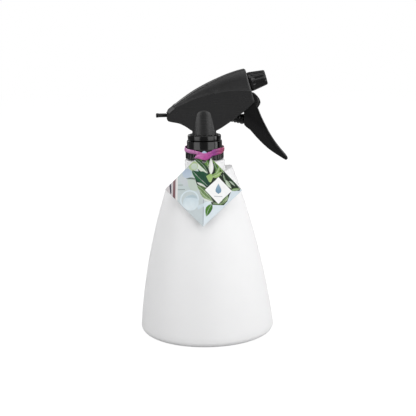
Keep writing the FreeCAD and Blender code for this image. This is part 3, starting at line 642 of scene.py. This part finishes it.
def make_piston():
    rod = 4.5
    profile = [(3.2, -21.5), (5.45, -21.5), (5.45, -20.6), (4.7, -20.6), (4.7, -19.0), (5.45, -19.0),
               (5.45, -18.0), (rod, -17.8)]
    for rib in range(5):
        low = -15.2 + 2.7 * rib
        profile += [(rod, low), (rod - 0.1, low + 0.2), (rod - 0.45, low + 0.45), (rod - 0.45, low + 1.35),
                    (rod - 0.1, low + 1.6), (rod, low + 1.8)]
    profile += [(rod, -1.0), (rod - 0.3, -0.3), (2.9, 1.1), (1.2, 1.5), (0.0, 1.6), (0.0, -3.6), (3.2, -3.6)]
    return aimed(spun(profile, 64), PUMP_FOOT, -PUMP_FALL)


finished("piston_rod", make_piston(), black_gloss, "piston", ["piston"])

# %% The return spring inside the rod
SPRING_REAR, SPRING_FRONT = (0.0065, 0, 0.1977), (0.0309, 0, 0.19205)


def make_coil(radius, wire, low, tall, turns):
    """A round wire section spun about the axis while it climbs."""
    bm = bmesh.new()
    section = [bm.verts.new((across, 0, up)) for across, up in arc((radius, low), wire, 0, 315, 7)]
    edges = [bm.edges.new((section[index], section[index - 1])) for index in range(8)]
    steps = turns * 32
    bmesh.ops.spin(bm, geom=section + edges, cent=(0, 0, 0), axis=(0, 0, 1), dvec=(0, 0, tall / steps),
                   angle=2 * math.pi * turns, steps=steps, use_merge=False, use_duplicate=False)
    bmesh.ops.holes_fill(bm, edges=bm.edges, sides=8)
    return aimed(bm, PUMP_FOOT, -PUMP_FALL)


spring_low, spring_high = span("return_spring")
finished("return_coil", make_coil(2.4, 0.38, -29.9, 25.2, 9), bright_steel,
         ("head", "piston", SPRING_REAR, SPRING_FRONT), ["return_spring"])
print(f"return spring: the CAD one runs from {spring_low.x:.1f} to {spring_high.x:.1f} mm")

pin_low, pin_high = span("tail_pin")
pin_profile = [(0, 0), (1.4, 0), (1.75, 0.15), (1.95, 0.5), (1.95, 1.9), (1.8, 2.2), (1.7, 2.4), (1.7, 9.0),
               (1.5, 9.4), (1.5, 21.0), (1.0, 21.7), (0, 21.8)]
tail_pin = aimed(spun(pin_profile, 40, closed=False), (pin_low.x, 0, (pin_low.z + pin_high.z) / 2), 0)
finished("tail_pin_turned", tail_pin, black_gloss, "head", ["tail_pin"])

# %% [markdown]
# ## The hang tag
# The tag is a square of glossy card hung by one corner and folded a little along its upright diagonal.
# Its print could be made from many small meshes, or from shader nodes, but a fine grid whose vertices are
# coloured by simple shapes (leaves, a petal, a watering can, a plain label) is shorter and reads like a
# picture being painted back to front.

# %% Shapes of the print, in millimetres right of and below the top corner
def inside(outline, u, v):
    """Whether a point is inside a closed outline."""
    odd = False
    for (u0, v0), (u1, v1) in zip(outline, outline[1:] + outline[:1]):
        if (v0 > v) != (v1 > v) and u < (u1 - u0) * (v - v0) / (v1 - v0) + u0:
            odd = not odd
    return odd


def leaf(start, end, wide, bend, light, dark, veins=7):
    """A leaf from its stalk to its tip, with a midrib and slanted veins."""
    start, end = Vector(start), Vector(end)
    axis = end - start
    long = axis.length
    axis.normalize()
    side = Vector((-axis.y, axis.x))

    def paint(u, v):
        offset = Vector((u, v)) - start
        along, across = offset.dot(axis) / long, offset.dot(side)
        if not 0 < along < 1:
            return None
        across -= bend * math.sin(math.pi * along)
        reach = wide * math.sin(math.pi * along ** 0.8) ** 0.85
        if abs(across) > reach:
            return None
        if abs(across) < 0.16:
            return tuple(part * 0.4 + 0.35 for part in light)
        vein = (along * veins + abs(across) / wide * 0.7) % 1
        mix = 0.25 + 0.5 * (across > 0) + 0.25 * (vein < 0.2)
        shade = 1 - 0.25 * (abs(across) / reach) ** 2
        return tuple((d + (l - d) * mix) * shade for l, d in zip(light, dark))
    return paint


def patch(outline, top, low=None):
    """A plain outline whose colour runs from top to low."""
    heights = [v for _, v in outline]
    low = low or top

    def paint(u, v):
        if not inside(outline, u, v):
            return None
        part = (v - min(heights)) / (max(heights) - min(heights))
        return tuple(a + (b - a) * part for a, b in zip(top, low))
    return paint


def loop(centre, radius_u, radius_v, thick, colour, open_from=None):
    """A bent rod or rim: an oval stroke."""
    def paint(u, v):
        across, down = (u - centre[0]) / radius_u, (v - centre[1]) / radius_v
        reach = math.hypot(across, down)
        if abs(reach - 1) * min(radius_u, radius_v) > thick / 2:
            return None
        if open_from and open_from(across, down):
            return None
        return colour
    return paint


def ink(red, green, blue):
    """A printed colour, from how it reads on a screen to how much light it gives back."""
    return tuple(((part / 255 + 0.055) / 1.055) ** 2.4 * 0.82 for part in (red, green, blue))


# %% The picture, back to front: first the room, with painted light and painted shade along the fold
# The third colour is painted light: the card's right half beside the fold, lighter as the half that faces
# the lamps.
WALL, WALL_LOW, LIT_SIDE, WHITE = ink(198, 210, 208), ink(206, 216, 220), ink(214, 226, 234), ink(252, 252, 252)
ROOM_AND_FOLD_SHADING = [
    patch([(-40, -3), (40, -3), (40, 70), (-40, 70)], WALL, WALL_LOW),
    # painted light: the right half beside the fold is painted lighter, as if it faced the lamps
    patch([(0.2, 47), (34, 28), (34, 46), (0.2, 68)], LIT_SIDE, ink(226, 236, 242)),
    patch([(-34, 25), (-24.2, 20), (-24.2, 46), (-34, 42)], ink(206, 200, 202), ink(216, 212, 214)),
    patch([(-24.2, 20), (-22.8, 20), (-22.8, 46), (-24.2, 46)], ink(236, 234, 232)),
    patch([(-27.0, 25.5), (-25.0, 24.5), (-25.0, 43), (-27.0, 41)], ink(140, 108, 112), ink(118, 80, 84)),
    patch([(-30.4, 29.5), (-28.8, 28.2), (-28.2, 37.6), (-29.2, 38.6)], ink(78, 76, 92), ink(52, 50, 64)),
    patch([(-22.6, 34.2), (-16.4, 34.2), (-16.4, 34.9), (-22.6, 34.9)], ink(150, 160, 158)),
    patch([(-22.6, 29.8), (-18.4, 29.8), (-18.4, 31.2), (-22.6, 31.2)], ink(178, 188, 186)),
    patch(arc((-14.8, 20.2), 4.2, 0, 360, 20), ink(176, 192, 212), ink(196, 210, 224)),
    patch([(-20.6, 21.6), (-15.6, 24.6), (-11.6, 31.6), (-17.4, 31.0), (-22.0, 26.4)], ink(206, 212, 216)),
    patch([(-14.6, 25.4), (-7.0, 25.8), (-3.0, 30.0), (-4.6, 35.6), (-10.6, 36.4), (-13.4, 31.6)],
          ink(200, 212, 202)),
    # painted shade: a thin dark line along the card's fold, for the crease
    patch([(-0.35, 43), (0.25, 43), (0.25, 66), (-0.35, 66)], ink(160, 166, 176)),
]

# %% Then the plant
BLACK_GREEN, DEEP, DARK = ink(14, 28, 16), ink(16, 52, 38), ink(30, 72, 40)
MID, BRIGHT, FRESH, BUD = ink(72, 116, 46), ink(104, 150, 62), ink(152, 186, 112), ink(186, 204, 158)
PLANT = [
    patch([(-8.0, 7.2), (-3.0, 4.0), (6.0, 4.4), (18, 15), (33, 31.6), (31.4, 34.6), (24.4, 34.4),
           (20.6, 44.8), (17.6, 48.0), (8.0, 48.0), (3.4, 43.6), (-5.6, 31.6), (-9.6, 19.6), (-4.6, 18.8),
           (-7.6, 10.4)], BLACK_GREEN, ink(24, 44, 20)),
    leaf((-16.0, 25.0), (-4.6, 27.0), 0.7, -1.2, ink(66, 96, 78), ink(40, 66, 52), veins=2),
    leaf((-7.8, 7.2), (3.6, 20.4), 3.0, -1.4, ink(58, 104, 44), ink(22, 58, 38), veins=3),
    leaf((-6.6, 6.6), (4.4, 16.4), 1.3, -2.0, ink(110, 150, 70), ink(40, 84, 40), veins=4),
    leaf((1.2, 5.2), (5.0, 14.8), 1.7, 0.6, BRIGHT, MID, veins=4),
    leaf((7.2, 8.0), (17.6, 19.4), 2.0, -0.8, ink(116, 160, 60), ink(64, 112, 38), veins=3),
    leaf((9.0, 10.6), (15.8, 22.4), 1.5, 0.8, ink(82, 128, 62), ink(28, 66, 34), veins=4),
    leaf((12.8, 11.4), (22.0, 22.4), 1.5, -0.6, ink(96, 140, 56), ink(44, 84, 34), veins=4),
    leaf((17.6, 17.2), (31.6, 32.6), 2.4, -0.8, ink(38, 72, 42), ink(16, 34, 22), veins=6),
    leaf((17.0, 20.6), (20.4, 28.8), 1.0, 0.3, ink(120, 148, 112), ink(66, 96, 62), veins=3),
    leaf((19.4, 25.6), (24.4, 32.8), 1.6, 0.4, ink(206, 220, 198), ink(140, 166, 128), veins=3),
    leaf((22.4, 26.2), (27.6, 30.6), 0.9, -0.3, ink(190, 206, 186), ink(90, 120, 84), veins=3),
    leaf((24.0, 34.4), (32.4, 32.8), 1.3, -0.2, ink(142, 176, 112), ink(96, 132, 74), veins=3),
    patch([(-8.0, 8.8), (2.8, 19.6), (3.0, 21.2), (-0.4, 20.8), (-6.4, 15.4)],
          ink(232, 240, 228), ink(206, 220, 200)),
    patch(arc((-9.4, 13.6), 4.2, 0, 360, 24), ink(176, 198, 146), BUD),
    patch(arc((-8.6, 14.0), 2.8, 0, 360, 20), ink(206, 218, 206), ink(196, 212, 196)),
    patch([(-10.8, 17.4), (-6.4, 18.4), (-0.6, 18.8), (3.2, 20.6), (5.8, 25.6), (5.4, 30.6), (1.4, 33.0),
           (-4.0, 30.4), (-7.2, 26.0), (-8.4, 21.6)], ink(24, 82, 52), ink(12, 56, 46)),
    leaf((-10.6, 17.6), (3.4, 31.6), 2.6, 0.2, ink(40, 104, 62), ink(16, 66, 48), veins=6),
    leaf((-6.0, 28.6), (2.6, 33.4), 1.0, -0.2, ink(236, 240, 232), ink(204, 216, 200), veins=2),
    leaf((-5.6, 31.0), (7.6, 43.8), 2.6, -0.6, ink(130, 162, 100), ink(58, 92, 48), veins=6),
    leaf((-3.6, 35.0), (8.6, 45.0), 1.9, 1.4, ink(160, 186, 132), ink(92, 124, 72), veins=5),
    leaf((-1.0, 42.8), (8.4, 45.6), 0.9, 0.3, ink(238, 242, 238), ink(206, 218, 206), veins=2),
    patch([(2.0, 23.0), (5.6, 20.4), (8.8, 21.6), (7.4, 25.4), (6.2, 28.2), (4.8, 28.2), (3.6, 26.0)],
          ink(150, 184, 104), ink(172, 200, 130)),
    leaf((7.2, 23.4), (15.8, 18.2), 2.3, 0.4, ink(172, 200, 126), ink(122, 160, 84), veins=3),
    leaf((10.4, 20.2), (13.8, 13.4), 1.6, 0.3, ink(156, 188, 116), ink(98, 138, 70), veins=3),
    leaf((6.2, 21.0), (5.9, 6.2), 2.1, 0.2, ink(252, 252, 250), ink(232, 238, 228), veins=2),
    leaf((14.6, 47.8), (21.4, 38.2), 1.7, 0.5, ink(120, 158, 76), ink(54, 88, 34), veins=5),
    leaf((8.0, 46.6), (18.6, 45.8), 1.5, 0.2, ink(96, 134, 58), ink(38, 62, 26), veins=4),
    leaf((18.6, 44.8), (21.6, 40.0), 0.8, 0.2, ink(176, 200, 146), ink(110, 146, 80), veins=2),
    leaf((7.4, 47.6), (2.8, 58.8), 2.7, 0.8, ink(86, 146, 50), ink(48, 104, 34), veins=6),
]

# %% Last the can, the plain label and the pale corner
FRONT = [
    loop((-12.2, 43.7), 7.7, 7.9, 1.25, ink(222, 234, 240),
         lambda across, down: across > 0.2 and down > 0.1),
    patch([(-5.6, 49.4), (6.4, 44.9), (6.9, 46.0), (-4.6, 52.8)], ink(224, 236, 242), ink(208, 222, 230)),
    patch(arc((-11.0, 46.4), 6.9, 0, 360, 32), ink(206, 222, 230), ink(226, 237, 242)),
    patch([(-16.0, 42.0), (-13.6, 40.2), (-9.6, 39.2), (-6.4, 40.6), (-5.2, 43.0), (-10.0, 41.8)],
          ink(186, 204, 212)),
    patch(arc((-12.0, 47.2), 4.6, 0, 360, 24), ink(214, 229, 236), ink(230, 240, 244)),
    patch([(12.9, 23.2), (24.6, 35.1), (12.9, 47.0), (1.2, 35.1)], WHITE),
    patch([(12.9, 29.0), (14.6, 32.2), (15.5, 34.6), (15.2, 36.6), (12.9, 38.2), (10.6, 36.6), (10.3, 34.6),
           (11.2, 32.2)], ink(150, 178, 196), ink(110, 146, 172)),
    patch([(9.4, 40.2), (16.4, 40.2), (16.4, 40.7), (9.4, 40.7)], ink(176, 180, 186)),
    patch([(-4, -3), (4, -3), (5, 4.2), (-5, 4.2)], ink(176, 200, 228), ink(192, 212, 234)),
]
PICTURE = ROOM_AND_FOLD_SHADING + PLANT + FRONT


def print_colour(u, v):
    colour = WALL
    for paint in PICTURE:
        colour = paint(u, v) or colour
    return colour


# %% The card itself
TAG_SIDE, TAG_FOLD, TAG_LEAN, TAG_TURN = 47.9, math.radians(10), math.radians(24.5), math.radians(1.7)
TAG_HOLE, HOLE_RADIUS = 9.4, 2.0
TAG_TIP = Vector((-0.25, -19.4, 166.3))
TAG_PLACE = (Matrix.Translation(TAG_TIP) @ Matrix.Rotation(-TAG_LEAN, 4, "X")
             @ Matrix.Rotation(TAG_TURN, 4, "Y"))
TAG_CELLS = 180


def make_tag():
    bm = bmesh.new()
    bmesh.ops.create_grid(bm, x_segments=TAG_CELLS, y_segments=TAG_CELLS, size=TAG_SIDE / 2)
    bmesh.ops.rotate(bm, verts=bm.verts, cent=(0, 0, 0), matrix=Matrix.Rotation(math.radians(45), 3, "Z"))
    reach = TAG_SIDE / math.sqrt(2)
    hole = Vector((0, reach - TAG_HOLE, 0))
    gone = [face for face in bm.faces if (face.calc_center_median() - hole).length < HOLE_RADIUS]
    bmesh.ops.delete(bm, geom=gone, context="FACES")
    for vert in bm.verts:
        if vert.is_boundary and (vert.co - hole).length < 3:
            vert.co = hole + (vert.co - hole).normalized() * HOLE_RADIUS
    paint = bm.verts.layers.float_color.new("print")
    for vert in bm.verts:
        across, down = vert.co.x, reach - vert.co.y
        down += 0.35 * max(1.0 - down, 0)
        vert[paint] = (*print_colour(across, down), 1)
        across *= 1 + 0.6 * max(1 - down / 4, 0)
        fold = math.sqrt(across ** 2 + 0.16) - 0.4
        curl = 0.9 * (across / reach) ** 2 + 0.5 * max(down / reach - 1.4, 0) ** 2
        vert.co = Vector((across * math.cos(TAG_FOLD), fold * math.sin(TAG_FOLD) - curl, -down))
    bmesh.ops.transform(bm, matrix=TAG_PLACE, verts=bm.verts)
    return bm


def printed_card():
    """Ink on coated card: the vertex colours under a thin gloss, with paper fibre in the bump."""
    material = bpy.data.materials.new("printed_card")
    material.use_nodes = True
    nodes, links = material.node_tree.nodes, material.node_tree.links
    shader = nodes["Principled BSDF"]
    shader.inputs["Specular IOR Level"].default_value = 0.3
    printed = nodes.new("ShaderNodeAttribute")
    printed.attribute_name = "print"
    place = nodes.new("ShaderNodeTexCoord")
    fibre = nodes.new("ShaderNodeTexNoise")
    fibre.inputs["Scale"].default_value = 1400
    fibre.inputs["Detail"].default_value = 3
    links.new(place.outputs["Object"], fibre.inputs["Vector"])
    mottle = nodes.new("ShaderNodeTexNoise")
    mottle.inputs["Scale"].default_value = 300
    links.new(place.outputs["Object"], mottle.inputs["Vector"])
    level = nodes.new("ShaderNodeMapRange")
    level.inputs["To Min"].default_value = 0.92
    level.inputs["To Max"].default_value = 1.05
    links.new(mottle.outputs["Fac"], level.inputs["Value"])
    tone = nodes.new("ShaderNodeMix")
    tone.data_type = "RGBA"
    tone.blend_type = "MULTIPLY"
    tone.inputs["Factor"].default_value = 1
    links.new(printed.outputs["Color"], tone.inputs["A"])
    links.new(level.outputs["Result"], tone.inputs["B"])
    links.new(tone.outputs["Result"], shader.inputs["Base Color"])
    gloss = nodes.new("ShaderNodeMapRange")
    gloss.inputs["To Min"].default_value = 0.38
    gloss.inputs["To Max"].default_value = 0.5
    links.new(mottle.outputs["Fac"], gloss.inputs["Value"])
    links.new(gloss.outputs["Result"], shader.inputs["Roughness"])
    bump = nodes.new("ShaderNodeBump")
    bump.inputs["Strength"].default_value = 0.06
    bump.inputs["Distance"].default_value = 0.0003
    links.new(fibre.outputs["Fac"], bump.inputs["Height"])
    links.new(bump.outputs["Normal"], shader.inputs["Normal"])
    return material


tag = finished("hang_tag_card", make_tag(), printed_card(), "tag", ["hang_tag"], sharp=60,
               normals=False)
card = tag.modifiers.new("card", "SOLIDIFY")
card.thickness = 0.45 * MM
card.offset = -1

# %% [markdown]
# ## The rubber band
# The band goes round the collar and droops to the tag's hole at the front. It is a flat strip, so a path
# is extruded to its width and given a thickness. It stretches when the tag is lifted; here it stays where
# it is built, with its transform baked.

# %% Two turns of the strip and the hitch at the front
def eased(table, turn):
    """Smooth reading of rows of (turn, value)."""
    for (t0, v0), (t1, v1) in zip(table, table[1:]):
        if t0 <= turn <= t1:
            part = (turn - t0) / (t1 - t0)
            return v0 + (v1 - v0) * part * part * (3 - 2 * part)


def make_strip(heights, reaches, wide, radius=17.15, steps=144):
    """One turn round the collar; turn 0 is the back, 90 the nozzle's side and 180 the front."""
    bm = bmesh.new()
    low = []
    for step in range(steps):
        turn = 360 * step / steps
        away = radius + eased(reaches, turn)
        angle = math.radians(turn)
        up = eased(heights, turn) - wide / 2
        low.append(bm.verts.new((away * math.sin(angle), away * math.cos(angle), up)))
    edges = [bm.edges.new((low[index], low[index - 1])) for index in range(steps)]
    for row in range(5):
        grown = bmesh.ops.extrude_edge_only(bm, edges=edges)
        verts = [item for item in grown["geom"] if isinstance(item, bmesh.types.BMVert)]
        edges = [item for item in grown["geom"] if isinstance(item, bmesh.types.BMEdge)]
        bmesh.ops.translate(bm, verts=verts, vec=(0, 0, wide / 5))
    for vert in bm.verts:
        turn = math.degrees(math.atan2(vert.co.x, vert.co.y)) % 360
        across = vert.co.z - eased(heights, turn)
        swell = 0.35 * (1 - (2 * across / wide) ** 2) + 0.12 * math.sin(math.radians(turn * 7))
        away = math.hypot(vert.co.x, vert.co.y)
        vert.co.x *= 1 + swell / away
        vert.co.y *= 1 + swell / away
        vert.co.z += 0.15 * math.sin(math.radians(turn * 5 + 40))
    return bm


def make_hitch():
    """The knot over the card's corner: an outline that bulges as it is inset."""
    outline = [(-8.6, 160.4), (-7.6, 162.0), (-5.4, 163.2), (-2.0, 163.5), (1.6, 163.3), (5.6, 164.0),
               (7.0, 163.0), (6.0, 161.4), (4.0, 159.8), (2.2, 158.8), (0.4, 158.4), (-2.6, 159.2),
               (-5.4, 160.0)]
    bm = plate(outline, -21.7, -21.2)
    bmesh.ops.recalc_face_normals(bm, faces=bm.faces)
    front = [face for face in bm.faces if face.normal.y < -0.9]
    for wide, deep in ((0.35, 0.35), (0.45, 0.3), (0.6, 0.2)):
        bmesh.ops.inset_region(bm, faces=front, thickness=wide, depth=deep, use_even_offset=True)
    for vert in bm.verts:
        vert.co.y -= (163.5 - vert.co.z) * 0.42
    return bm


UPPER = [(0, 166.2), (90, 165.7), (125, 165.7), (150, 165.0), (168, 163.4), (180, 162.6), (192, 163.6),
         (206, 164.3), (232, 164.7), (256, 165.6), (274, 166.0), (360, 166.2)]
LOWER = [(0, 165.6), (90, 165.2), (108, 164.4), (130, 163.2), (148, 162.5), (165, 162.0), (180, 161.6),
         (194, 162.8), (208, 164.4), (240, 164.9), (270, 165.1), (360, 165.6)]
FRONT_REACH = [(0, 0.0), (146, 0.1), (162, 1.6), (174, 4.0), (180, 4.5), (186, 4.0), (198, 1.6), (214, 0.1),
               (360, 0.0)]


def pink_rubber():
    """Tinted, slightly see-through rubber that runs from lilac to magenta across the front."""
    material = moulded("pink_rubber", (0.60, 0.10, 0.42), 0.3, grain=0.12, grain_size=500, wander=0.3,
                       waves=0.2, subsurface=0.25)
    nodes, links = material.node_tree.nodes, material.node_tree.links
    shader = nodes["Principled BSDF"]
    shader.inputs["Transmission Weight"].default_value = 0.15
    place = nodes.new("ShaderNodeTexCoord")
    split = nodes.new("ShaderNodeSeparateXYZ")
    links.new(place.outputs["Object"], split.inputs["Vector"])
    ramp = nodes.new("ShaderNodeValToRGB")
    ramp.color_ramp.elements[0].color = (0.72, 0.29, 0.62, 1)
    ramp.color_ramp.elements[1].color = (0.42, 0.06, 0.14, 1)
    middle = ramp.color_ramp.elements.new(0.55)
    middle.color = (0.50, 0.07, 0.33, 1)
    right_of_middle = ramp.color_ramp.elements.new(0.74)
    right_of_middle.color = (0.25, 0.015, 0.22, 1)
    reach = nodes.new("ShaderNodeMapRange")
    reach.inputs["From Min"].default_value = -0.017
    reach.inputs["From Max"].default_value = 0.017
    links.new(split.outputs["X"], reach.inputs["Value"])
    links.new(reach.outputs["Result"], ramp.inputs["Fac"])
    streak = nodes.new("ShaderNodeTexNoise")
    streak.inputs["Scale"].default_value = 220
    streak.inputs["Detail"].default_value = 4
    links.new(place.outputs["Object"], streak.inputs["Vector"])
    level = nodes.new("ShaderNodeMapRange")
    level.inputs["To Min"].default_value = 0.6
    level.inputs["To Max"].default_value = 1.5
    links.new(streak.outputs["Fac"], level.inputs["Value"])
    tone = nodes.new("ShaderNodeMix")
    tone.data_type = "RGBA"
    tone.blend_type = "MULTIPLY"
    tone.inputs["Factor"].default_value = 1
    links.new(ramp.outputs["Color"], tone.inputs["A"])
    links.new(level.outputs["Result"], tone.inputs["B"])
    links.new(tone.outputs["Result"], shader.inputs["Base Color"])
    return material


# %% The band in its place
BAND_HELD, BAND_HUNG = (0, -0.0176, 0.1655), (0, -0.0215, 0.1630)
lower_reach = [(turn, reach + 0.12) for turn, reach in FRONT_REACH]
band_bm = joined(make_strip(UPPER, FRONT_REACH, 3.3), make_strip(LOWER, lower_reach, 2.6), make_hitch())
band = finished("rubber_band_loop", band_bm, pink_rubber(), ("head", "tag", BAND_HELD, BAND_HUNG),
                ["rubber_band"], sharp=60, normals=False)
strip = band.modifiers.new("strip", "SOLIDIFY")
strip.thickness = 0.4 * MM
strip.offset = 0

# %% [markdown]
# ## Camera, light and floor
# A long lens looks slightly down on the mister. Two tall soft boxes, one on each side of the camera, draw
# the two upright streaks on the black collar. A third at the right edge draws the trigger's outline, one
# above lights the cover's back, and two behind keep the far side readable. The floor and the world look
# white to the camera only, so the background stays clean without more light on the mister.

# %% Camera
scene = bpy.context.scene
camera = bpy.data.objects.new("camera", bpy.data.cameras.new("camera"))
scene.collection.objects.link(camera)
camera.data.sensor_width = 36
camera.data.lens = 78.84
camera.data.clip_start = 0.05
camera.matrix_world = (Matrix.Translation((0.0022, -0.806, 0.2697))
                       @ Matrix.Rotation(math.radians(90 - 11.1), 4, "X")
                       @ Matrix.Rotation(math.radians(-0.95), 4, "Z"))
scene.camera = camera


# %% Lights
def soft_box(name, azimuth, elevation, distance, wide, tall, power):
    """An area light aimed at the middle; azimuth 0 is the camera's side and grows to the right."""
    lamp = bpy.data.lights.new(name, "AREA")
    lamp.shape = "RECTANGLE"
    lamp.size, lamp.size_y, lamp.energy = wide, tall, power
    light = bpy.data.objects.new(name, lamp)
    scene.collection.objects.link(light)
    turn, rise = math.radians(azimuth), math.radians(elevation)
    away = Vector((math.sin(turn) * math.cos(rise), -math.cos(turn) * math.cos(rise), math.sin(rise)))
    middle = Vector((0, 0, 0.13))
    light.matrix_world = (Matrix.Translation(middle + away * distance)
                          @ away.to_track_quat("Z", "Y").to_matrix().to_4x4())


soft_box("left_box", -52, 14, 1.5, 1.1, 1.6, 10.8)
soft_box("right_box", 46, 16, 1.5, 1.2, 1.6, 11.5)
soft_box("right_edge_box", 86, 21, 1.5, 0.6, 1.4, 7)
soft_box("top_box", -10, 72, 1.6, 1.4, 1.4, 6.5)
soft_box("back_left_box", -142, 26, 1.6, 0.9, 1.3, 7)
soft_box("back_right_box", 138, 32, 1.6, 0.9, 1.3, 7)

# %% White world and floor
scene.view_settings.view_transform = "Standard"
world = bpy.data.worlds.new("studio")
scene.world = world
world.use_nodes = True
nodes, links = world.node_tree.nodes, world.node_tree.links
glow = nodes["Background"]
glow.inputs["Color"].default_value = (1, 1, 1, 1)
glow.inputs["Strength"].default_value = 0.14
white = nodes.new("ShaderNodeBackground")
white.inputs["Color"].default_value = (1, 1, 1, 1)
white.inputs["Strength"].default_value = 1.0
path = nodes.new("ShaderNodeLightPath")
seen = path.outputs["Is Camera Ray"]
for ray, part in (("Is Transmission Ray", 1.0), ("Is Diffuse Ray", 0.34), ("Is Glossy Ray", 0.08)):
    share = nodes.new("ShaderNodeMath")
    share.operation = "MULTIPLY_ADD"
    share.inputs[1].default_value = part
    share.use_clamp = True
    links.new(path.outputs[ray], share.inputs[0])
    links.new(seen, share.inputs[2])
    seen = share.outputs["Value"]
mix = nodes.new("ShaderNodeMixShader")
links.new(seen, mix.inputs["Fac"])
links.new(glow.outputs["Background"], mix.inputs[1])
links.new(white.outputs["Background"], mix.inputs[2])
links.new(mix.outputs["Shader"], nodes["World Output"].inputs["Surface"])

bm = bmesh.new()
bmesh.ops.create_grid(bm, x_segments=1, y_segments=1, size=3.0)
floor_mesh = bpy.data.meshes.new("floor")
bm.to_mesh(floor_mesh)
bm.free()
floor = bpy.data.objects.new("floor", floor_mesh)
scene.collection.objects.link(floor)
floor_paint = bpy.data.materials.new("floor")
floor_paint.use_nodes = True
nodes, links = floor_paint.node_tree.nodes, floor_paint.node_tree.links
bounce = nodes["Principled BSDF"]
bounce.inputs["Roughness"].default_value = 0.9
path = nodes.new("ShaderNodeLightPath")
shade = nodes.new("ShaderNodeMix")
shade.data_type = "RGBA"
shade.inputs["A"].default_value = (0.45, 0.45, 0.45, 1)
shade.inputs["B"].default_value = (0.22, 0.22, 0.22, 1)
links.new(path.outputs["Is Glossy Ray"], shade.inputs["Factor"])
links.new(shade.outputs["Result"], bounce.inputs["Base Color"])
paper = nodes.new("ShaderNodeBsdfDiffuse")
paper.inputs["Color"].default_value = (0.9, 0.9, 0.9, 1)
shine = nodes.new("ShaderNodeEmission")
shine.inputs["Color"].default_value = (1, 1, 1, 1)
shine.inputs["Strength"].default_value = 1.08
sheet = nodes.new("ShaderNodeMixShader")
sheet.inputs["Fac"].default_value = 0.88
links.new(paper.outputs["BSDF"], sheet.inputs[1])
links.new(shine.outputs["Emission"], sheet.inputs[2])
mix = nodes.new("ShaderNodeMixShader")
links.new(path.outputs["Is Camera Ray"], mix.inputs["Fac"])
links.new(bounce.outputs["BSDF"], mix.inputs[1])
links.new(sheet.outputs["Shader"], mix.inputs[2])
links.new(mix.outputs["Shader"], nodes["Material Output"].inputs["Surface"])
floor_mesh.materials.append(floor_paint)
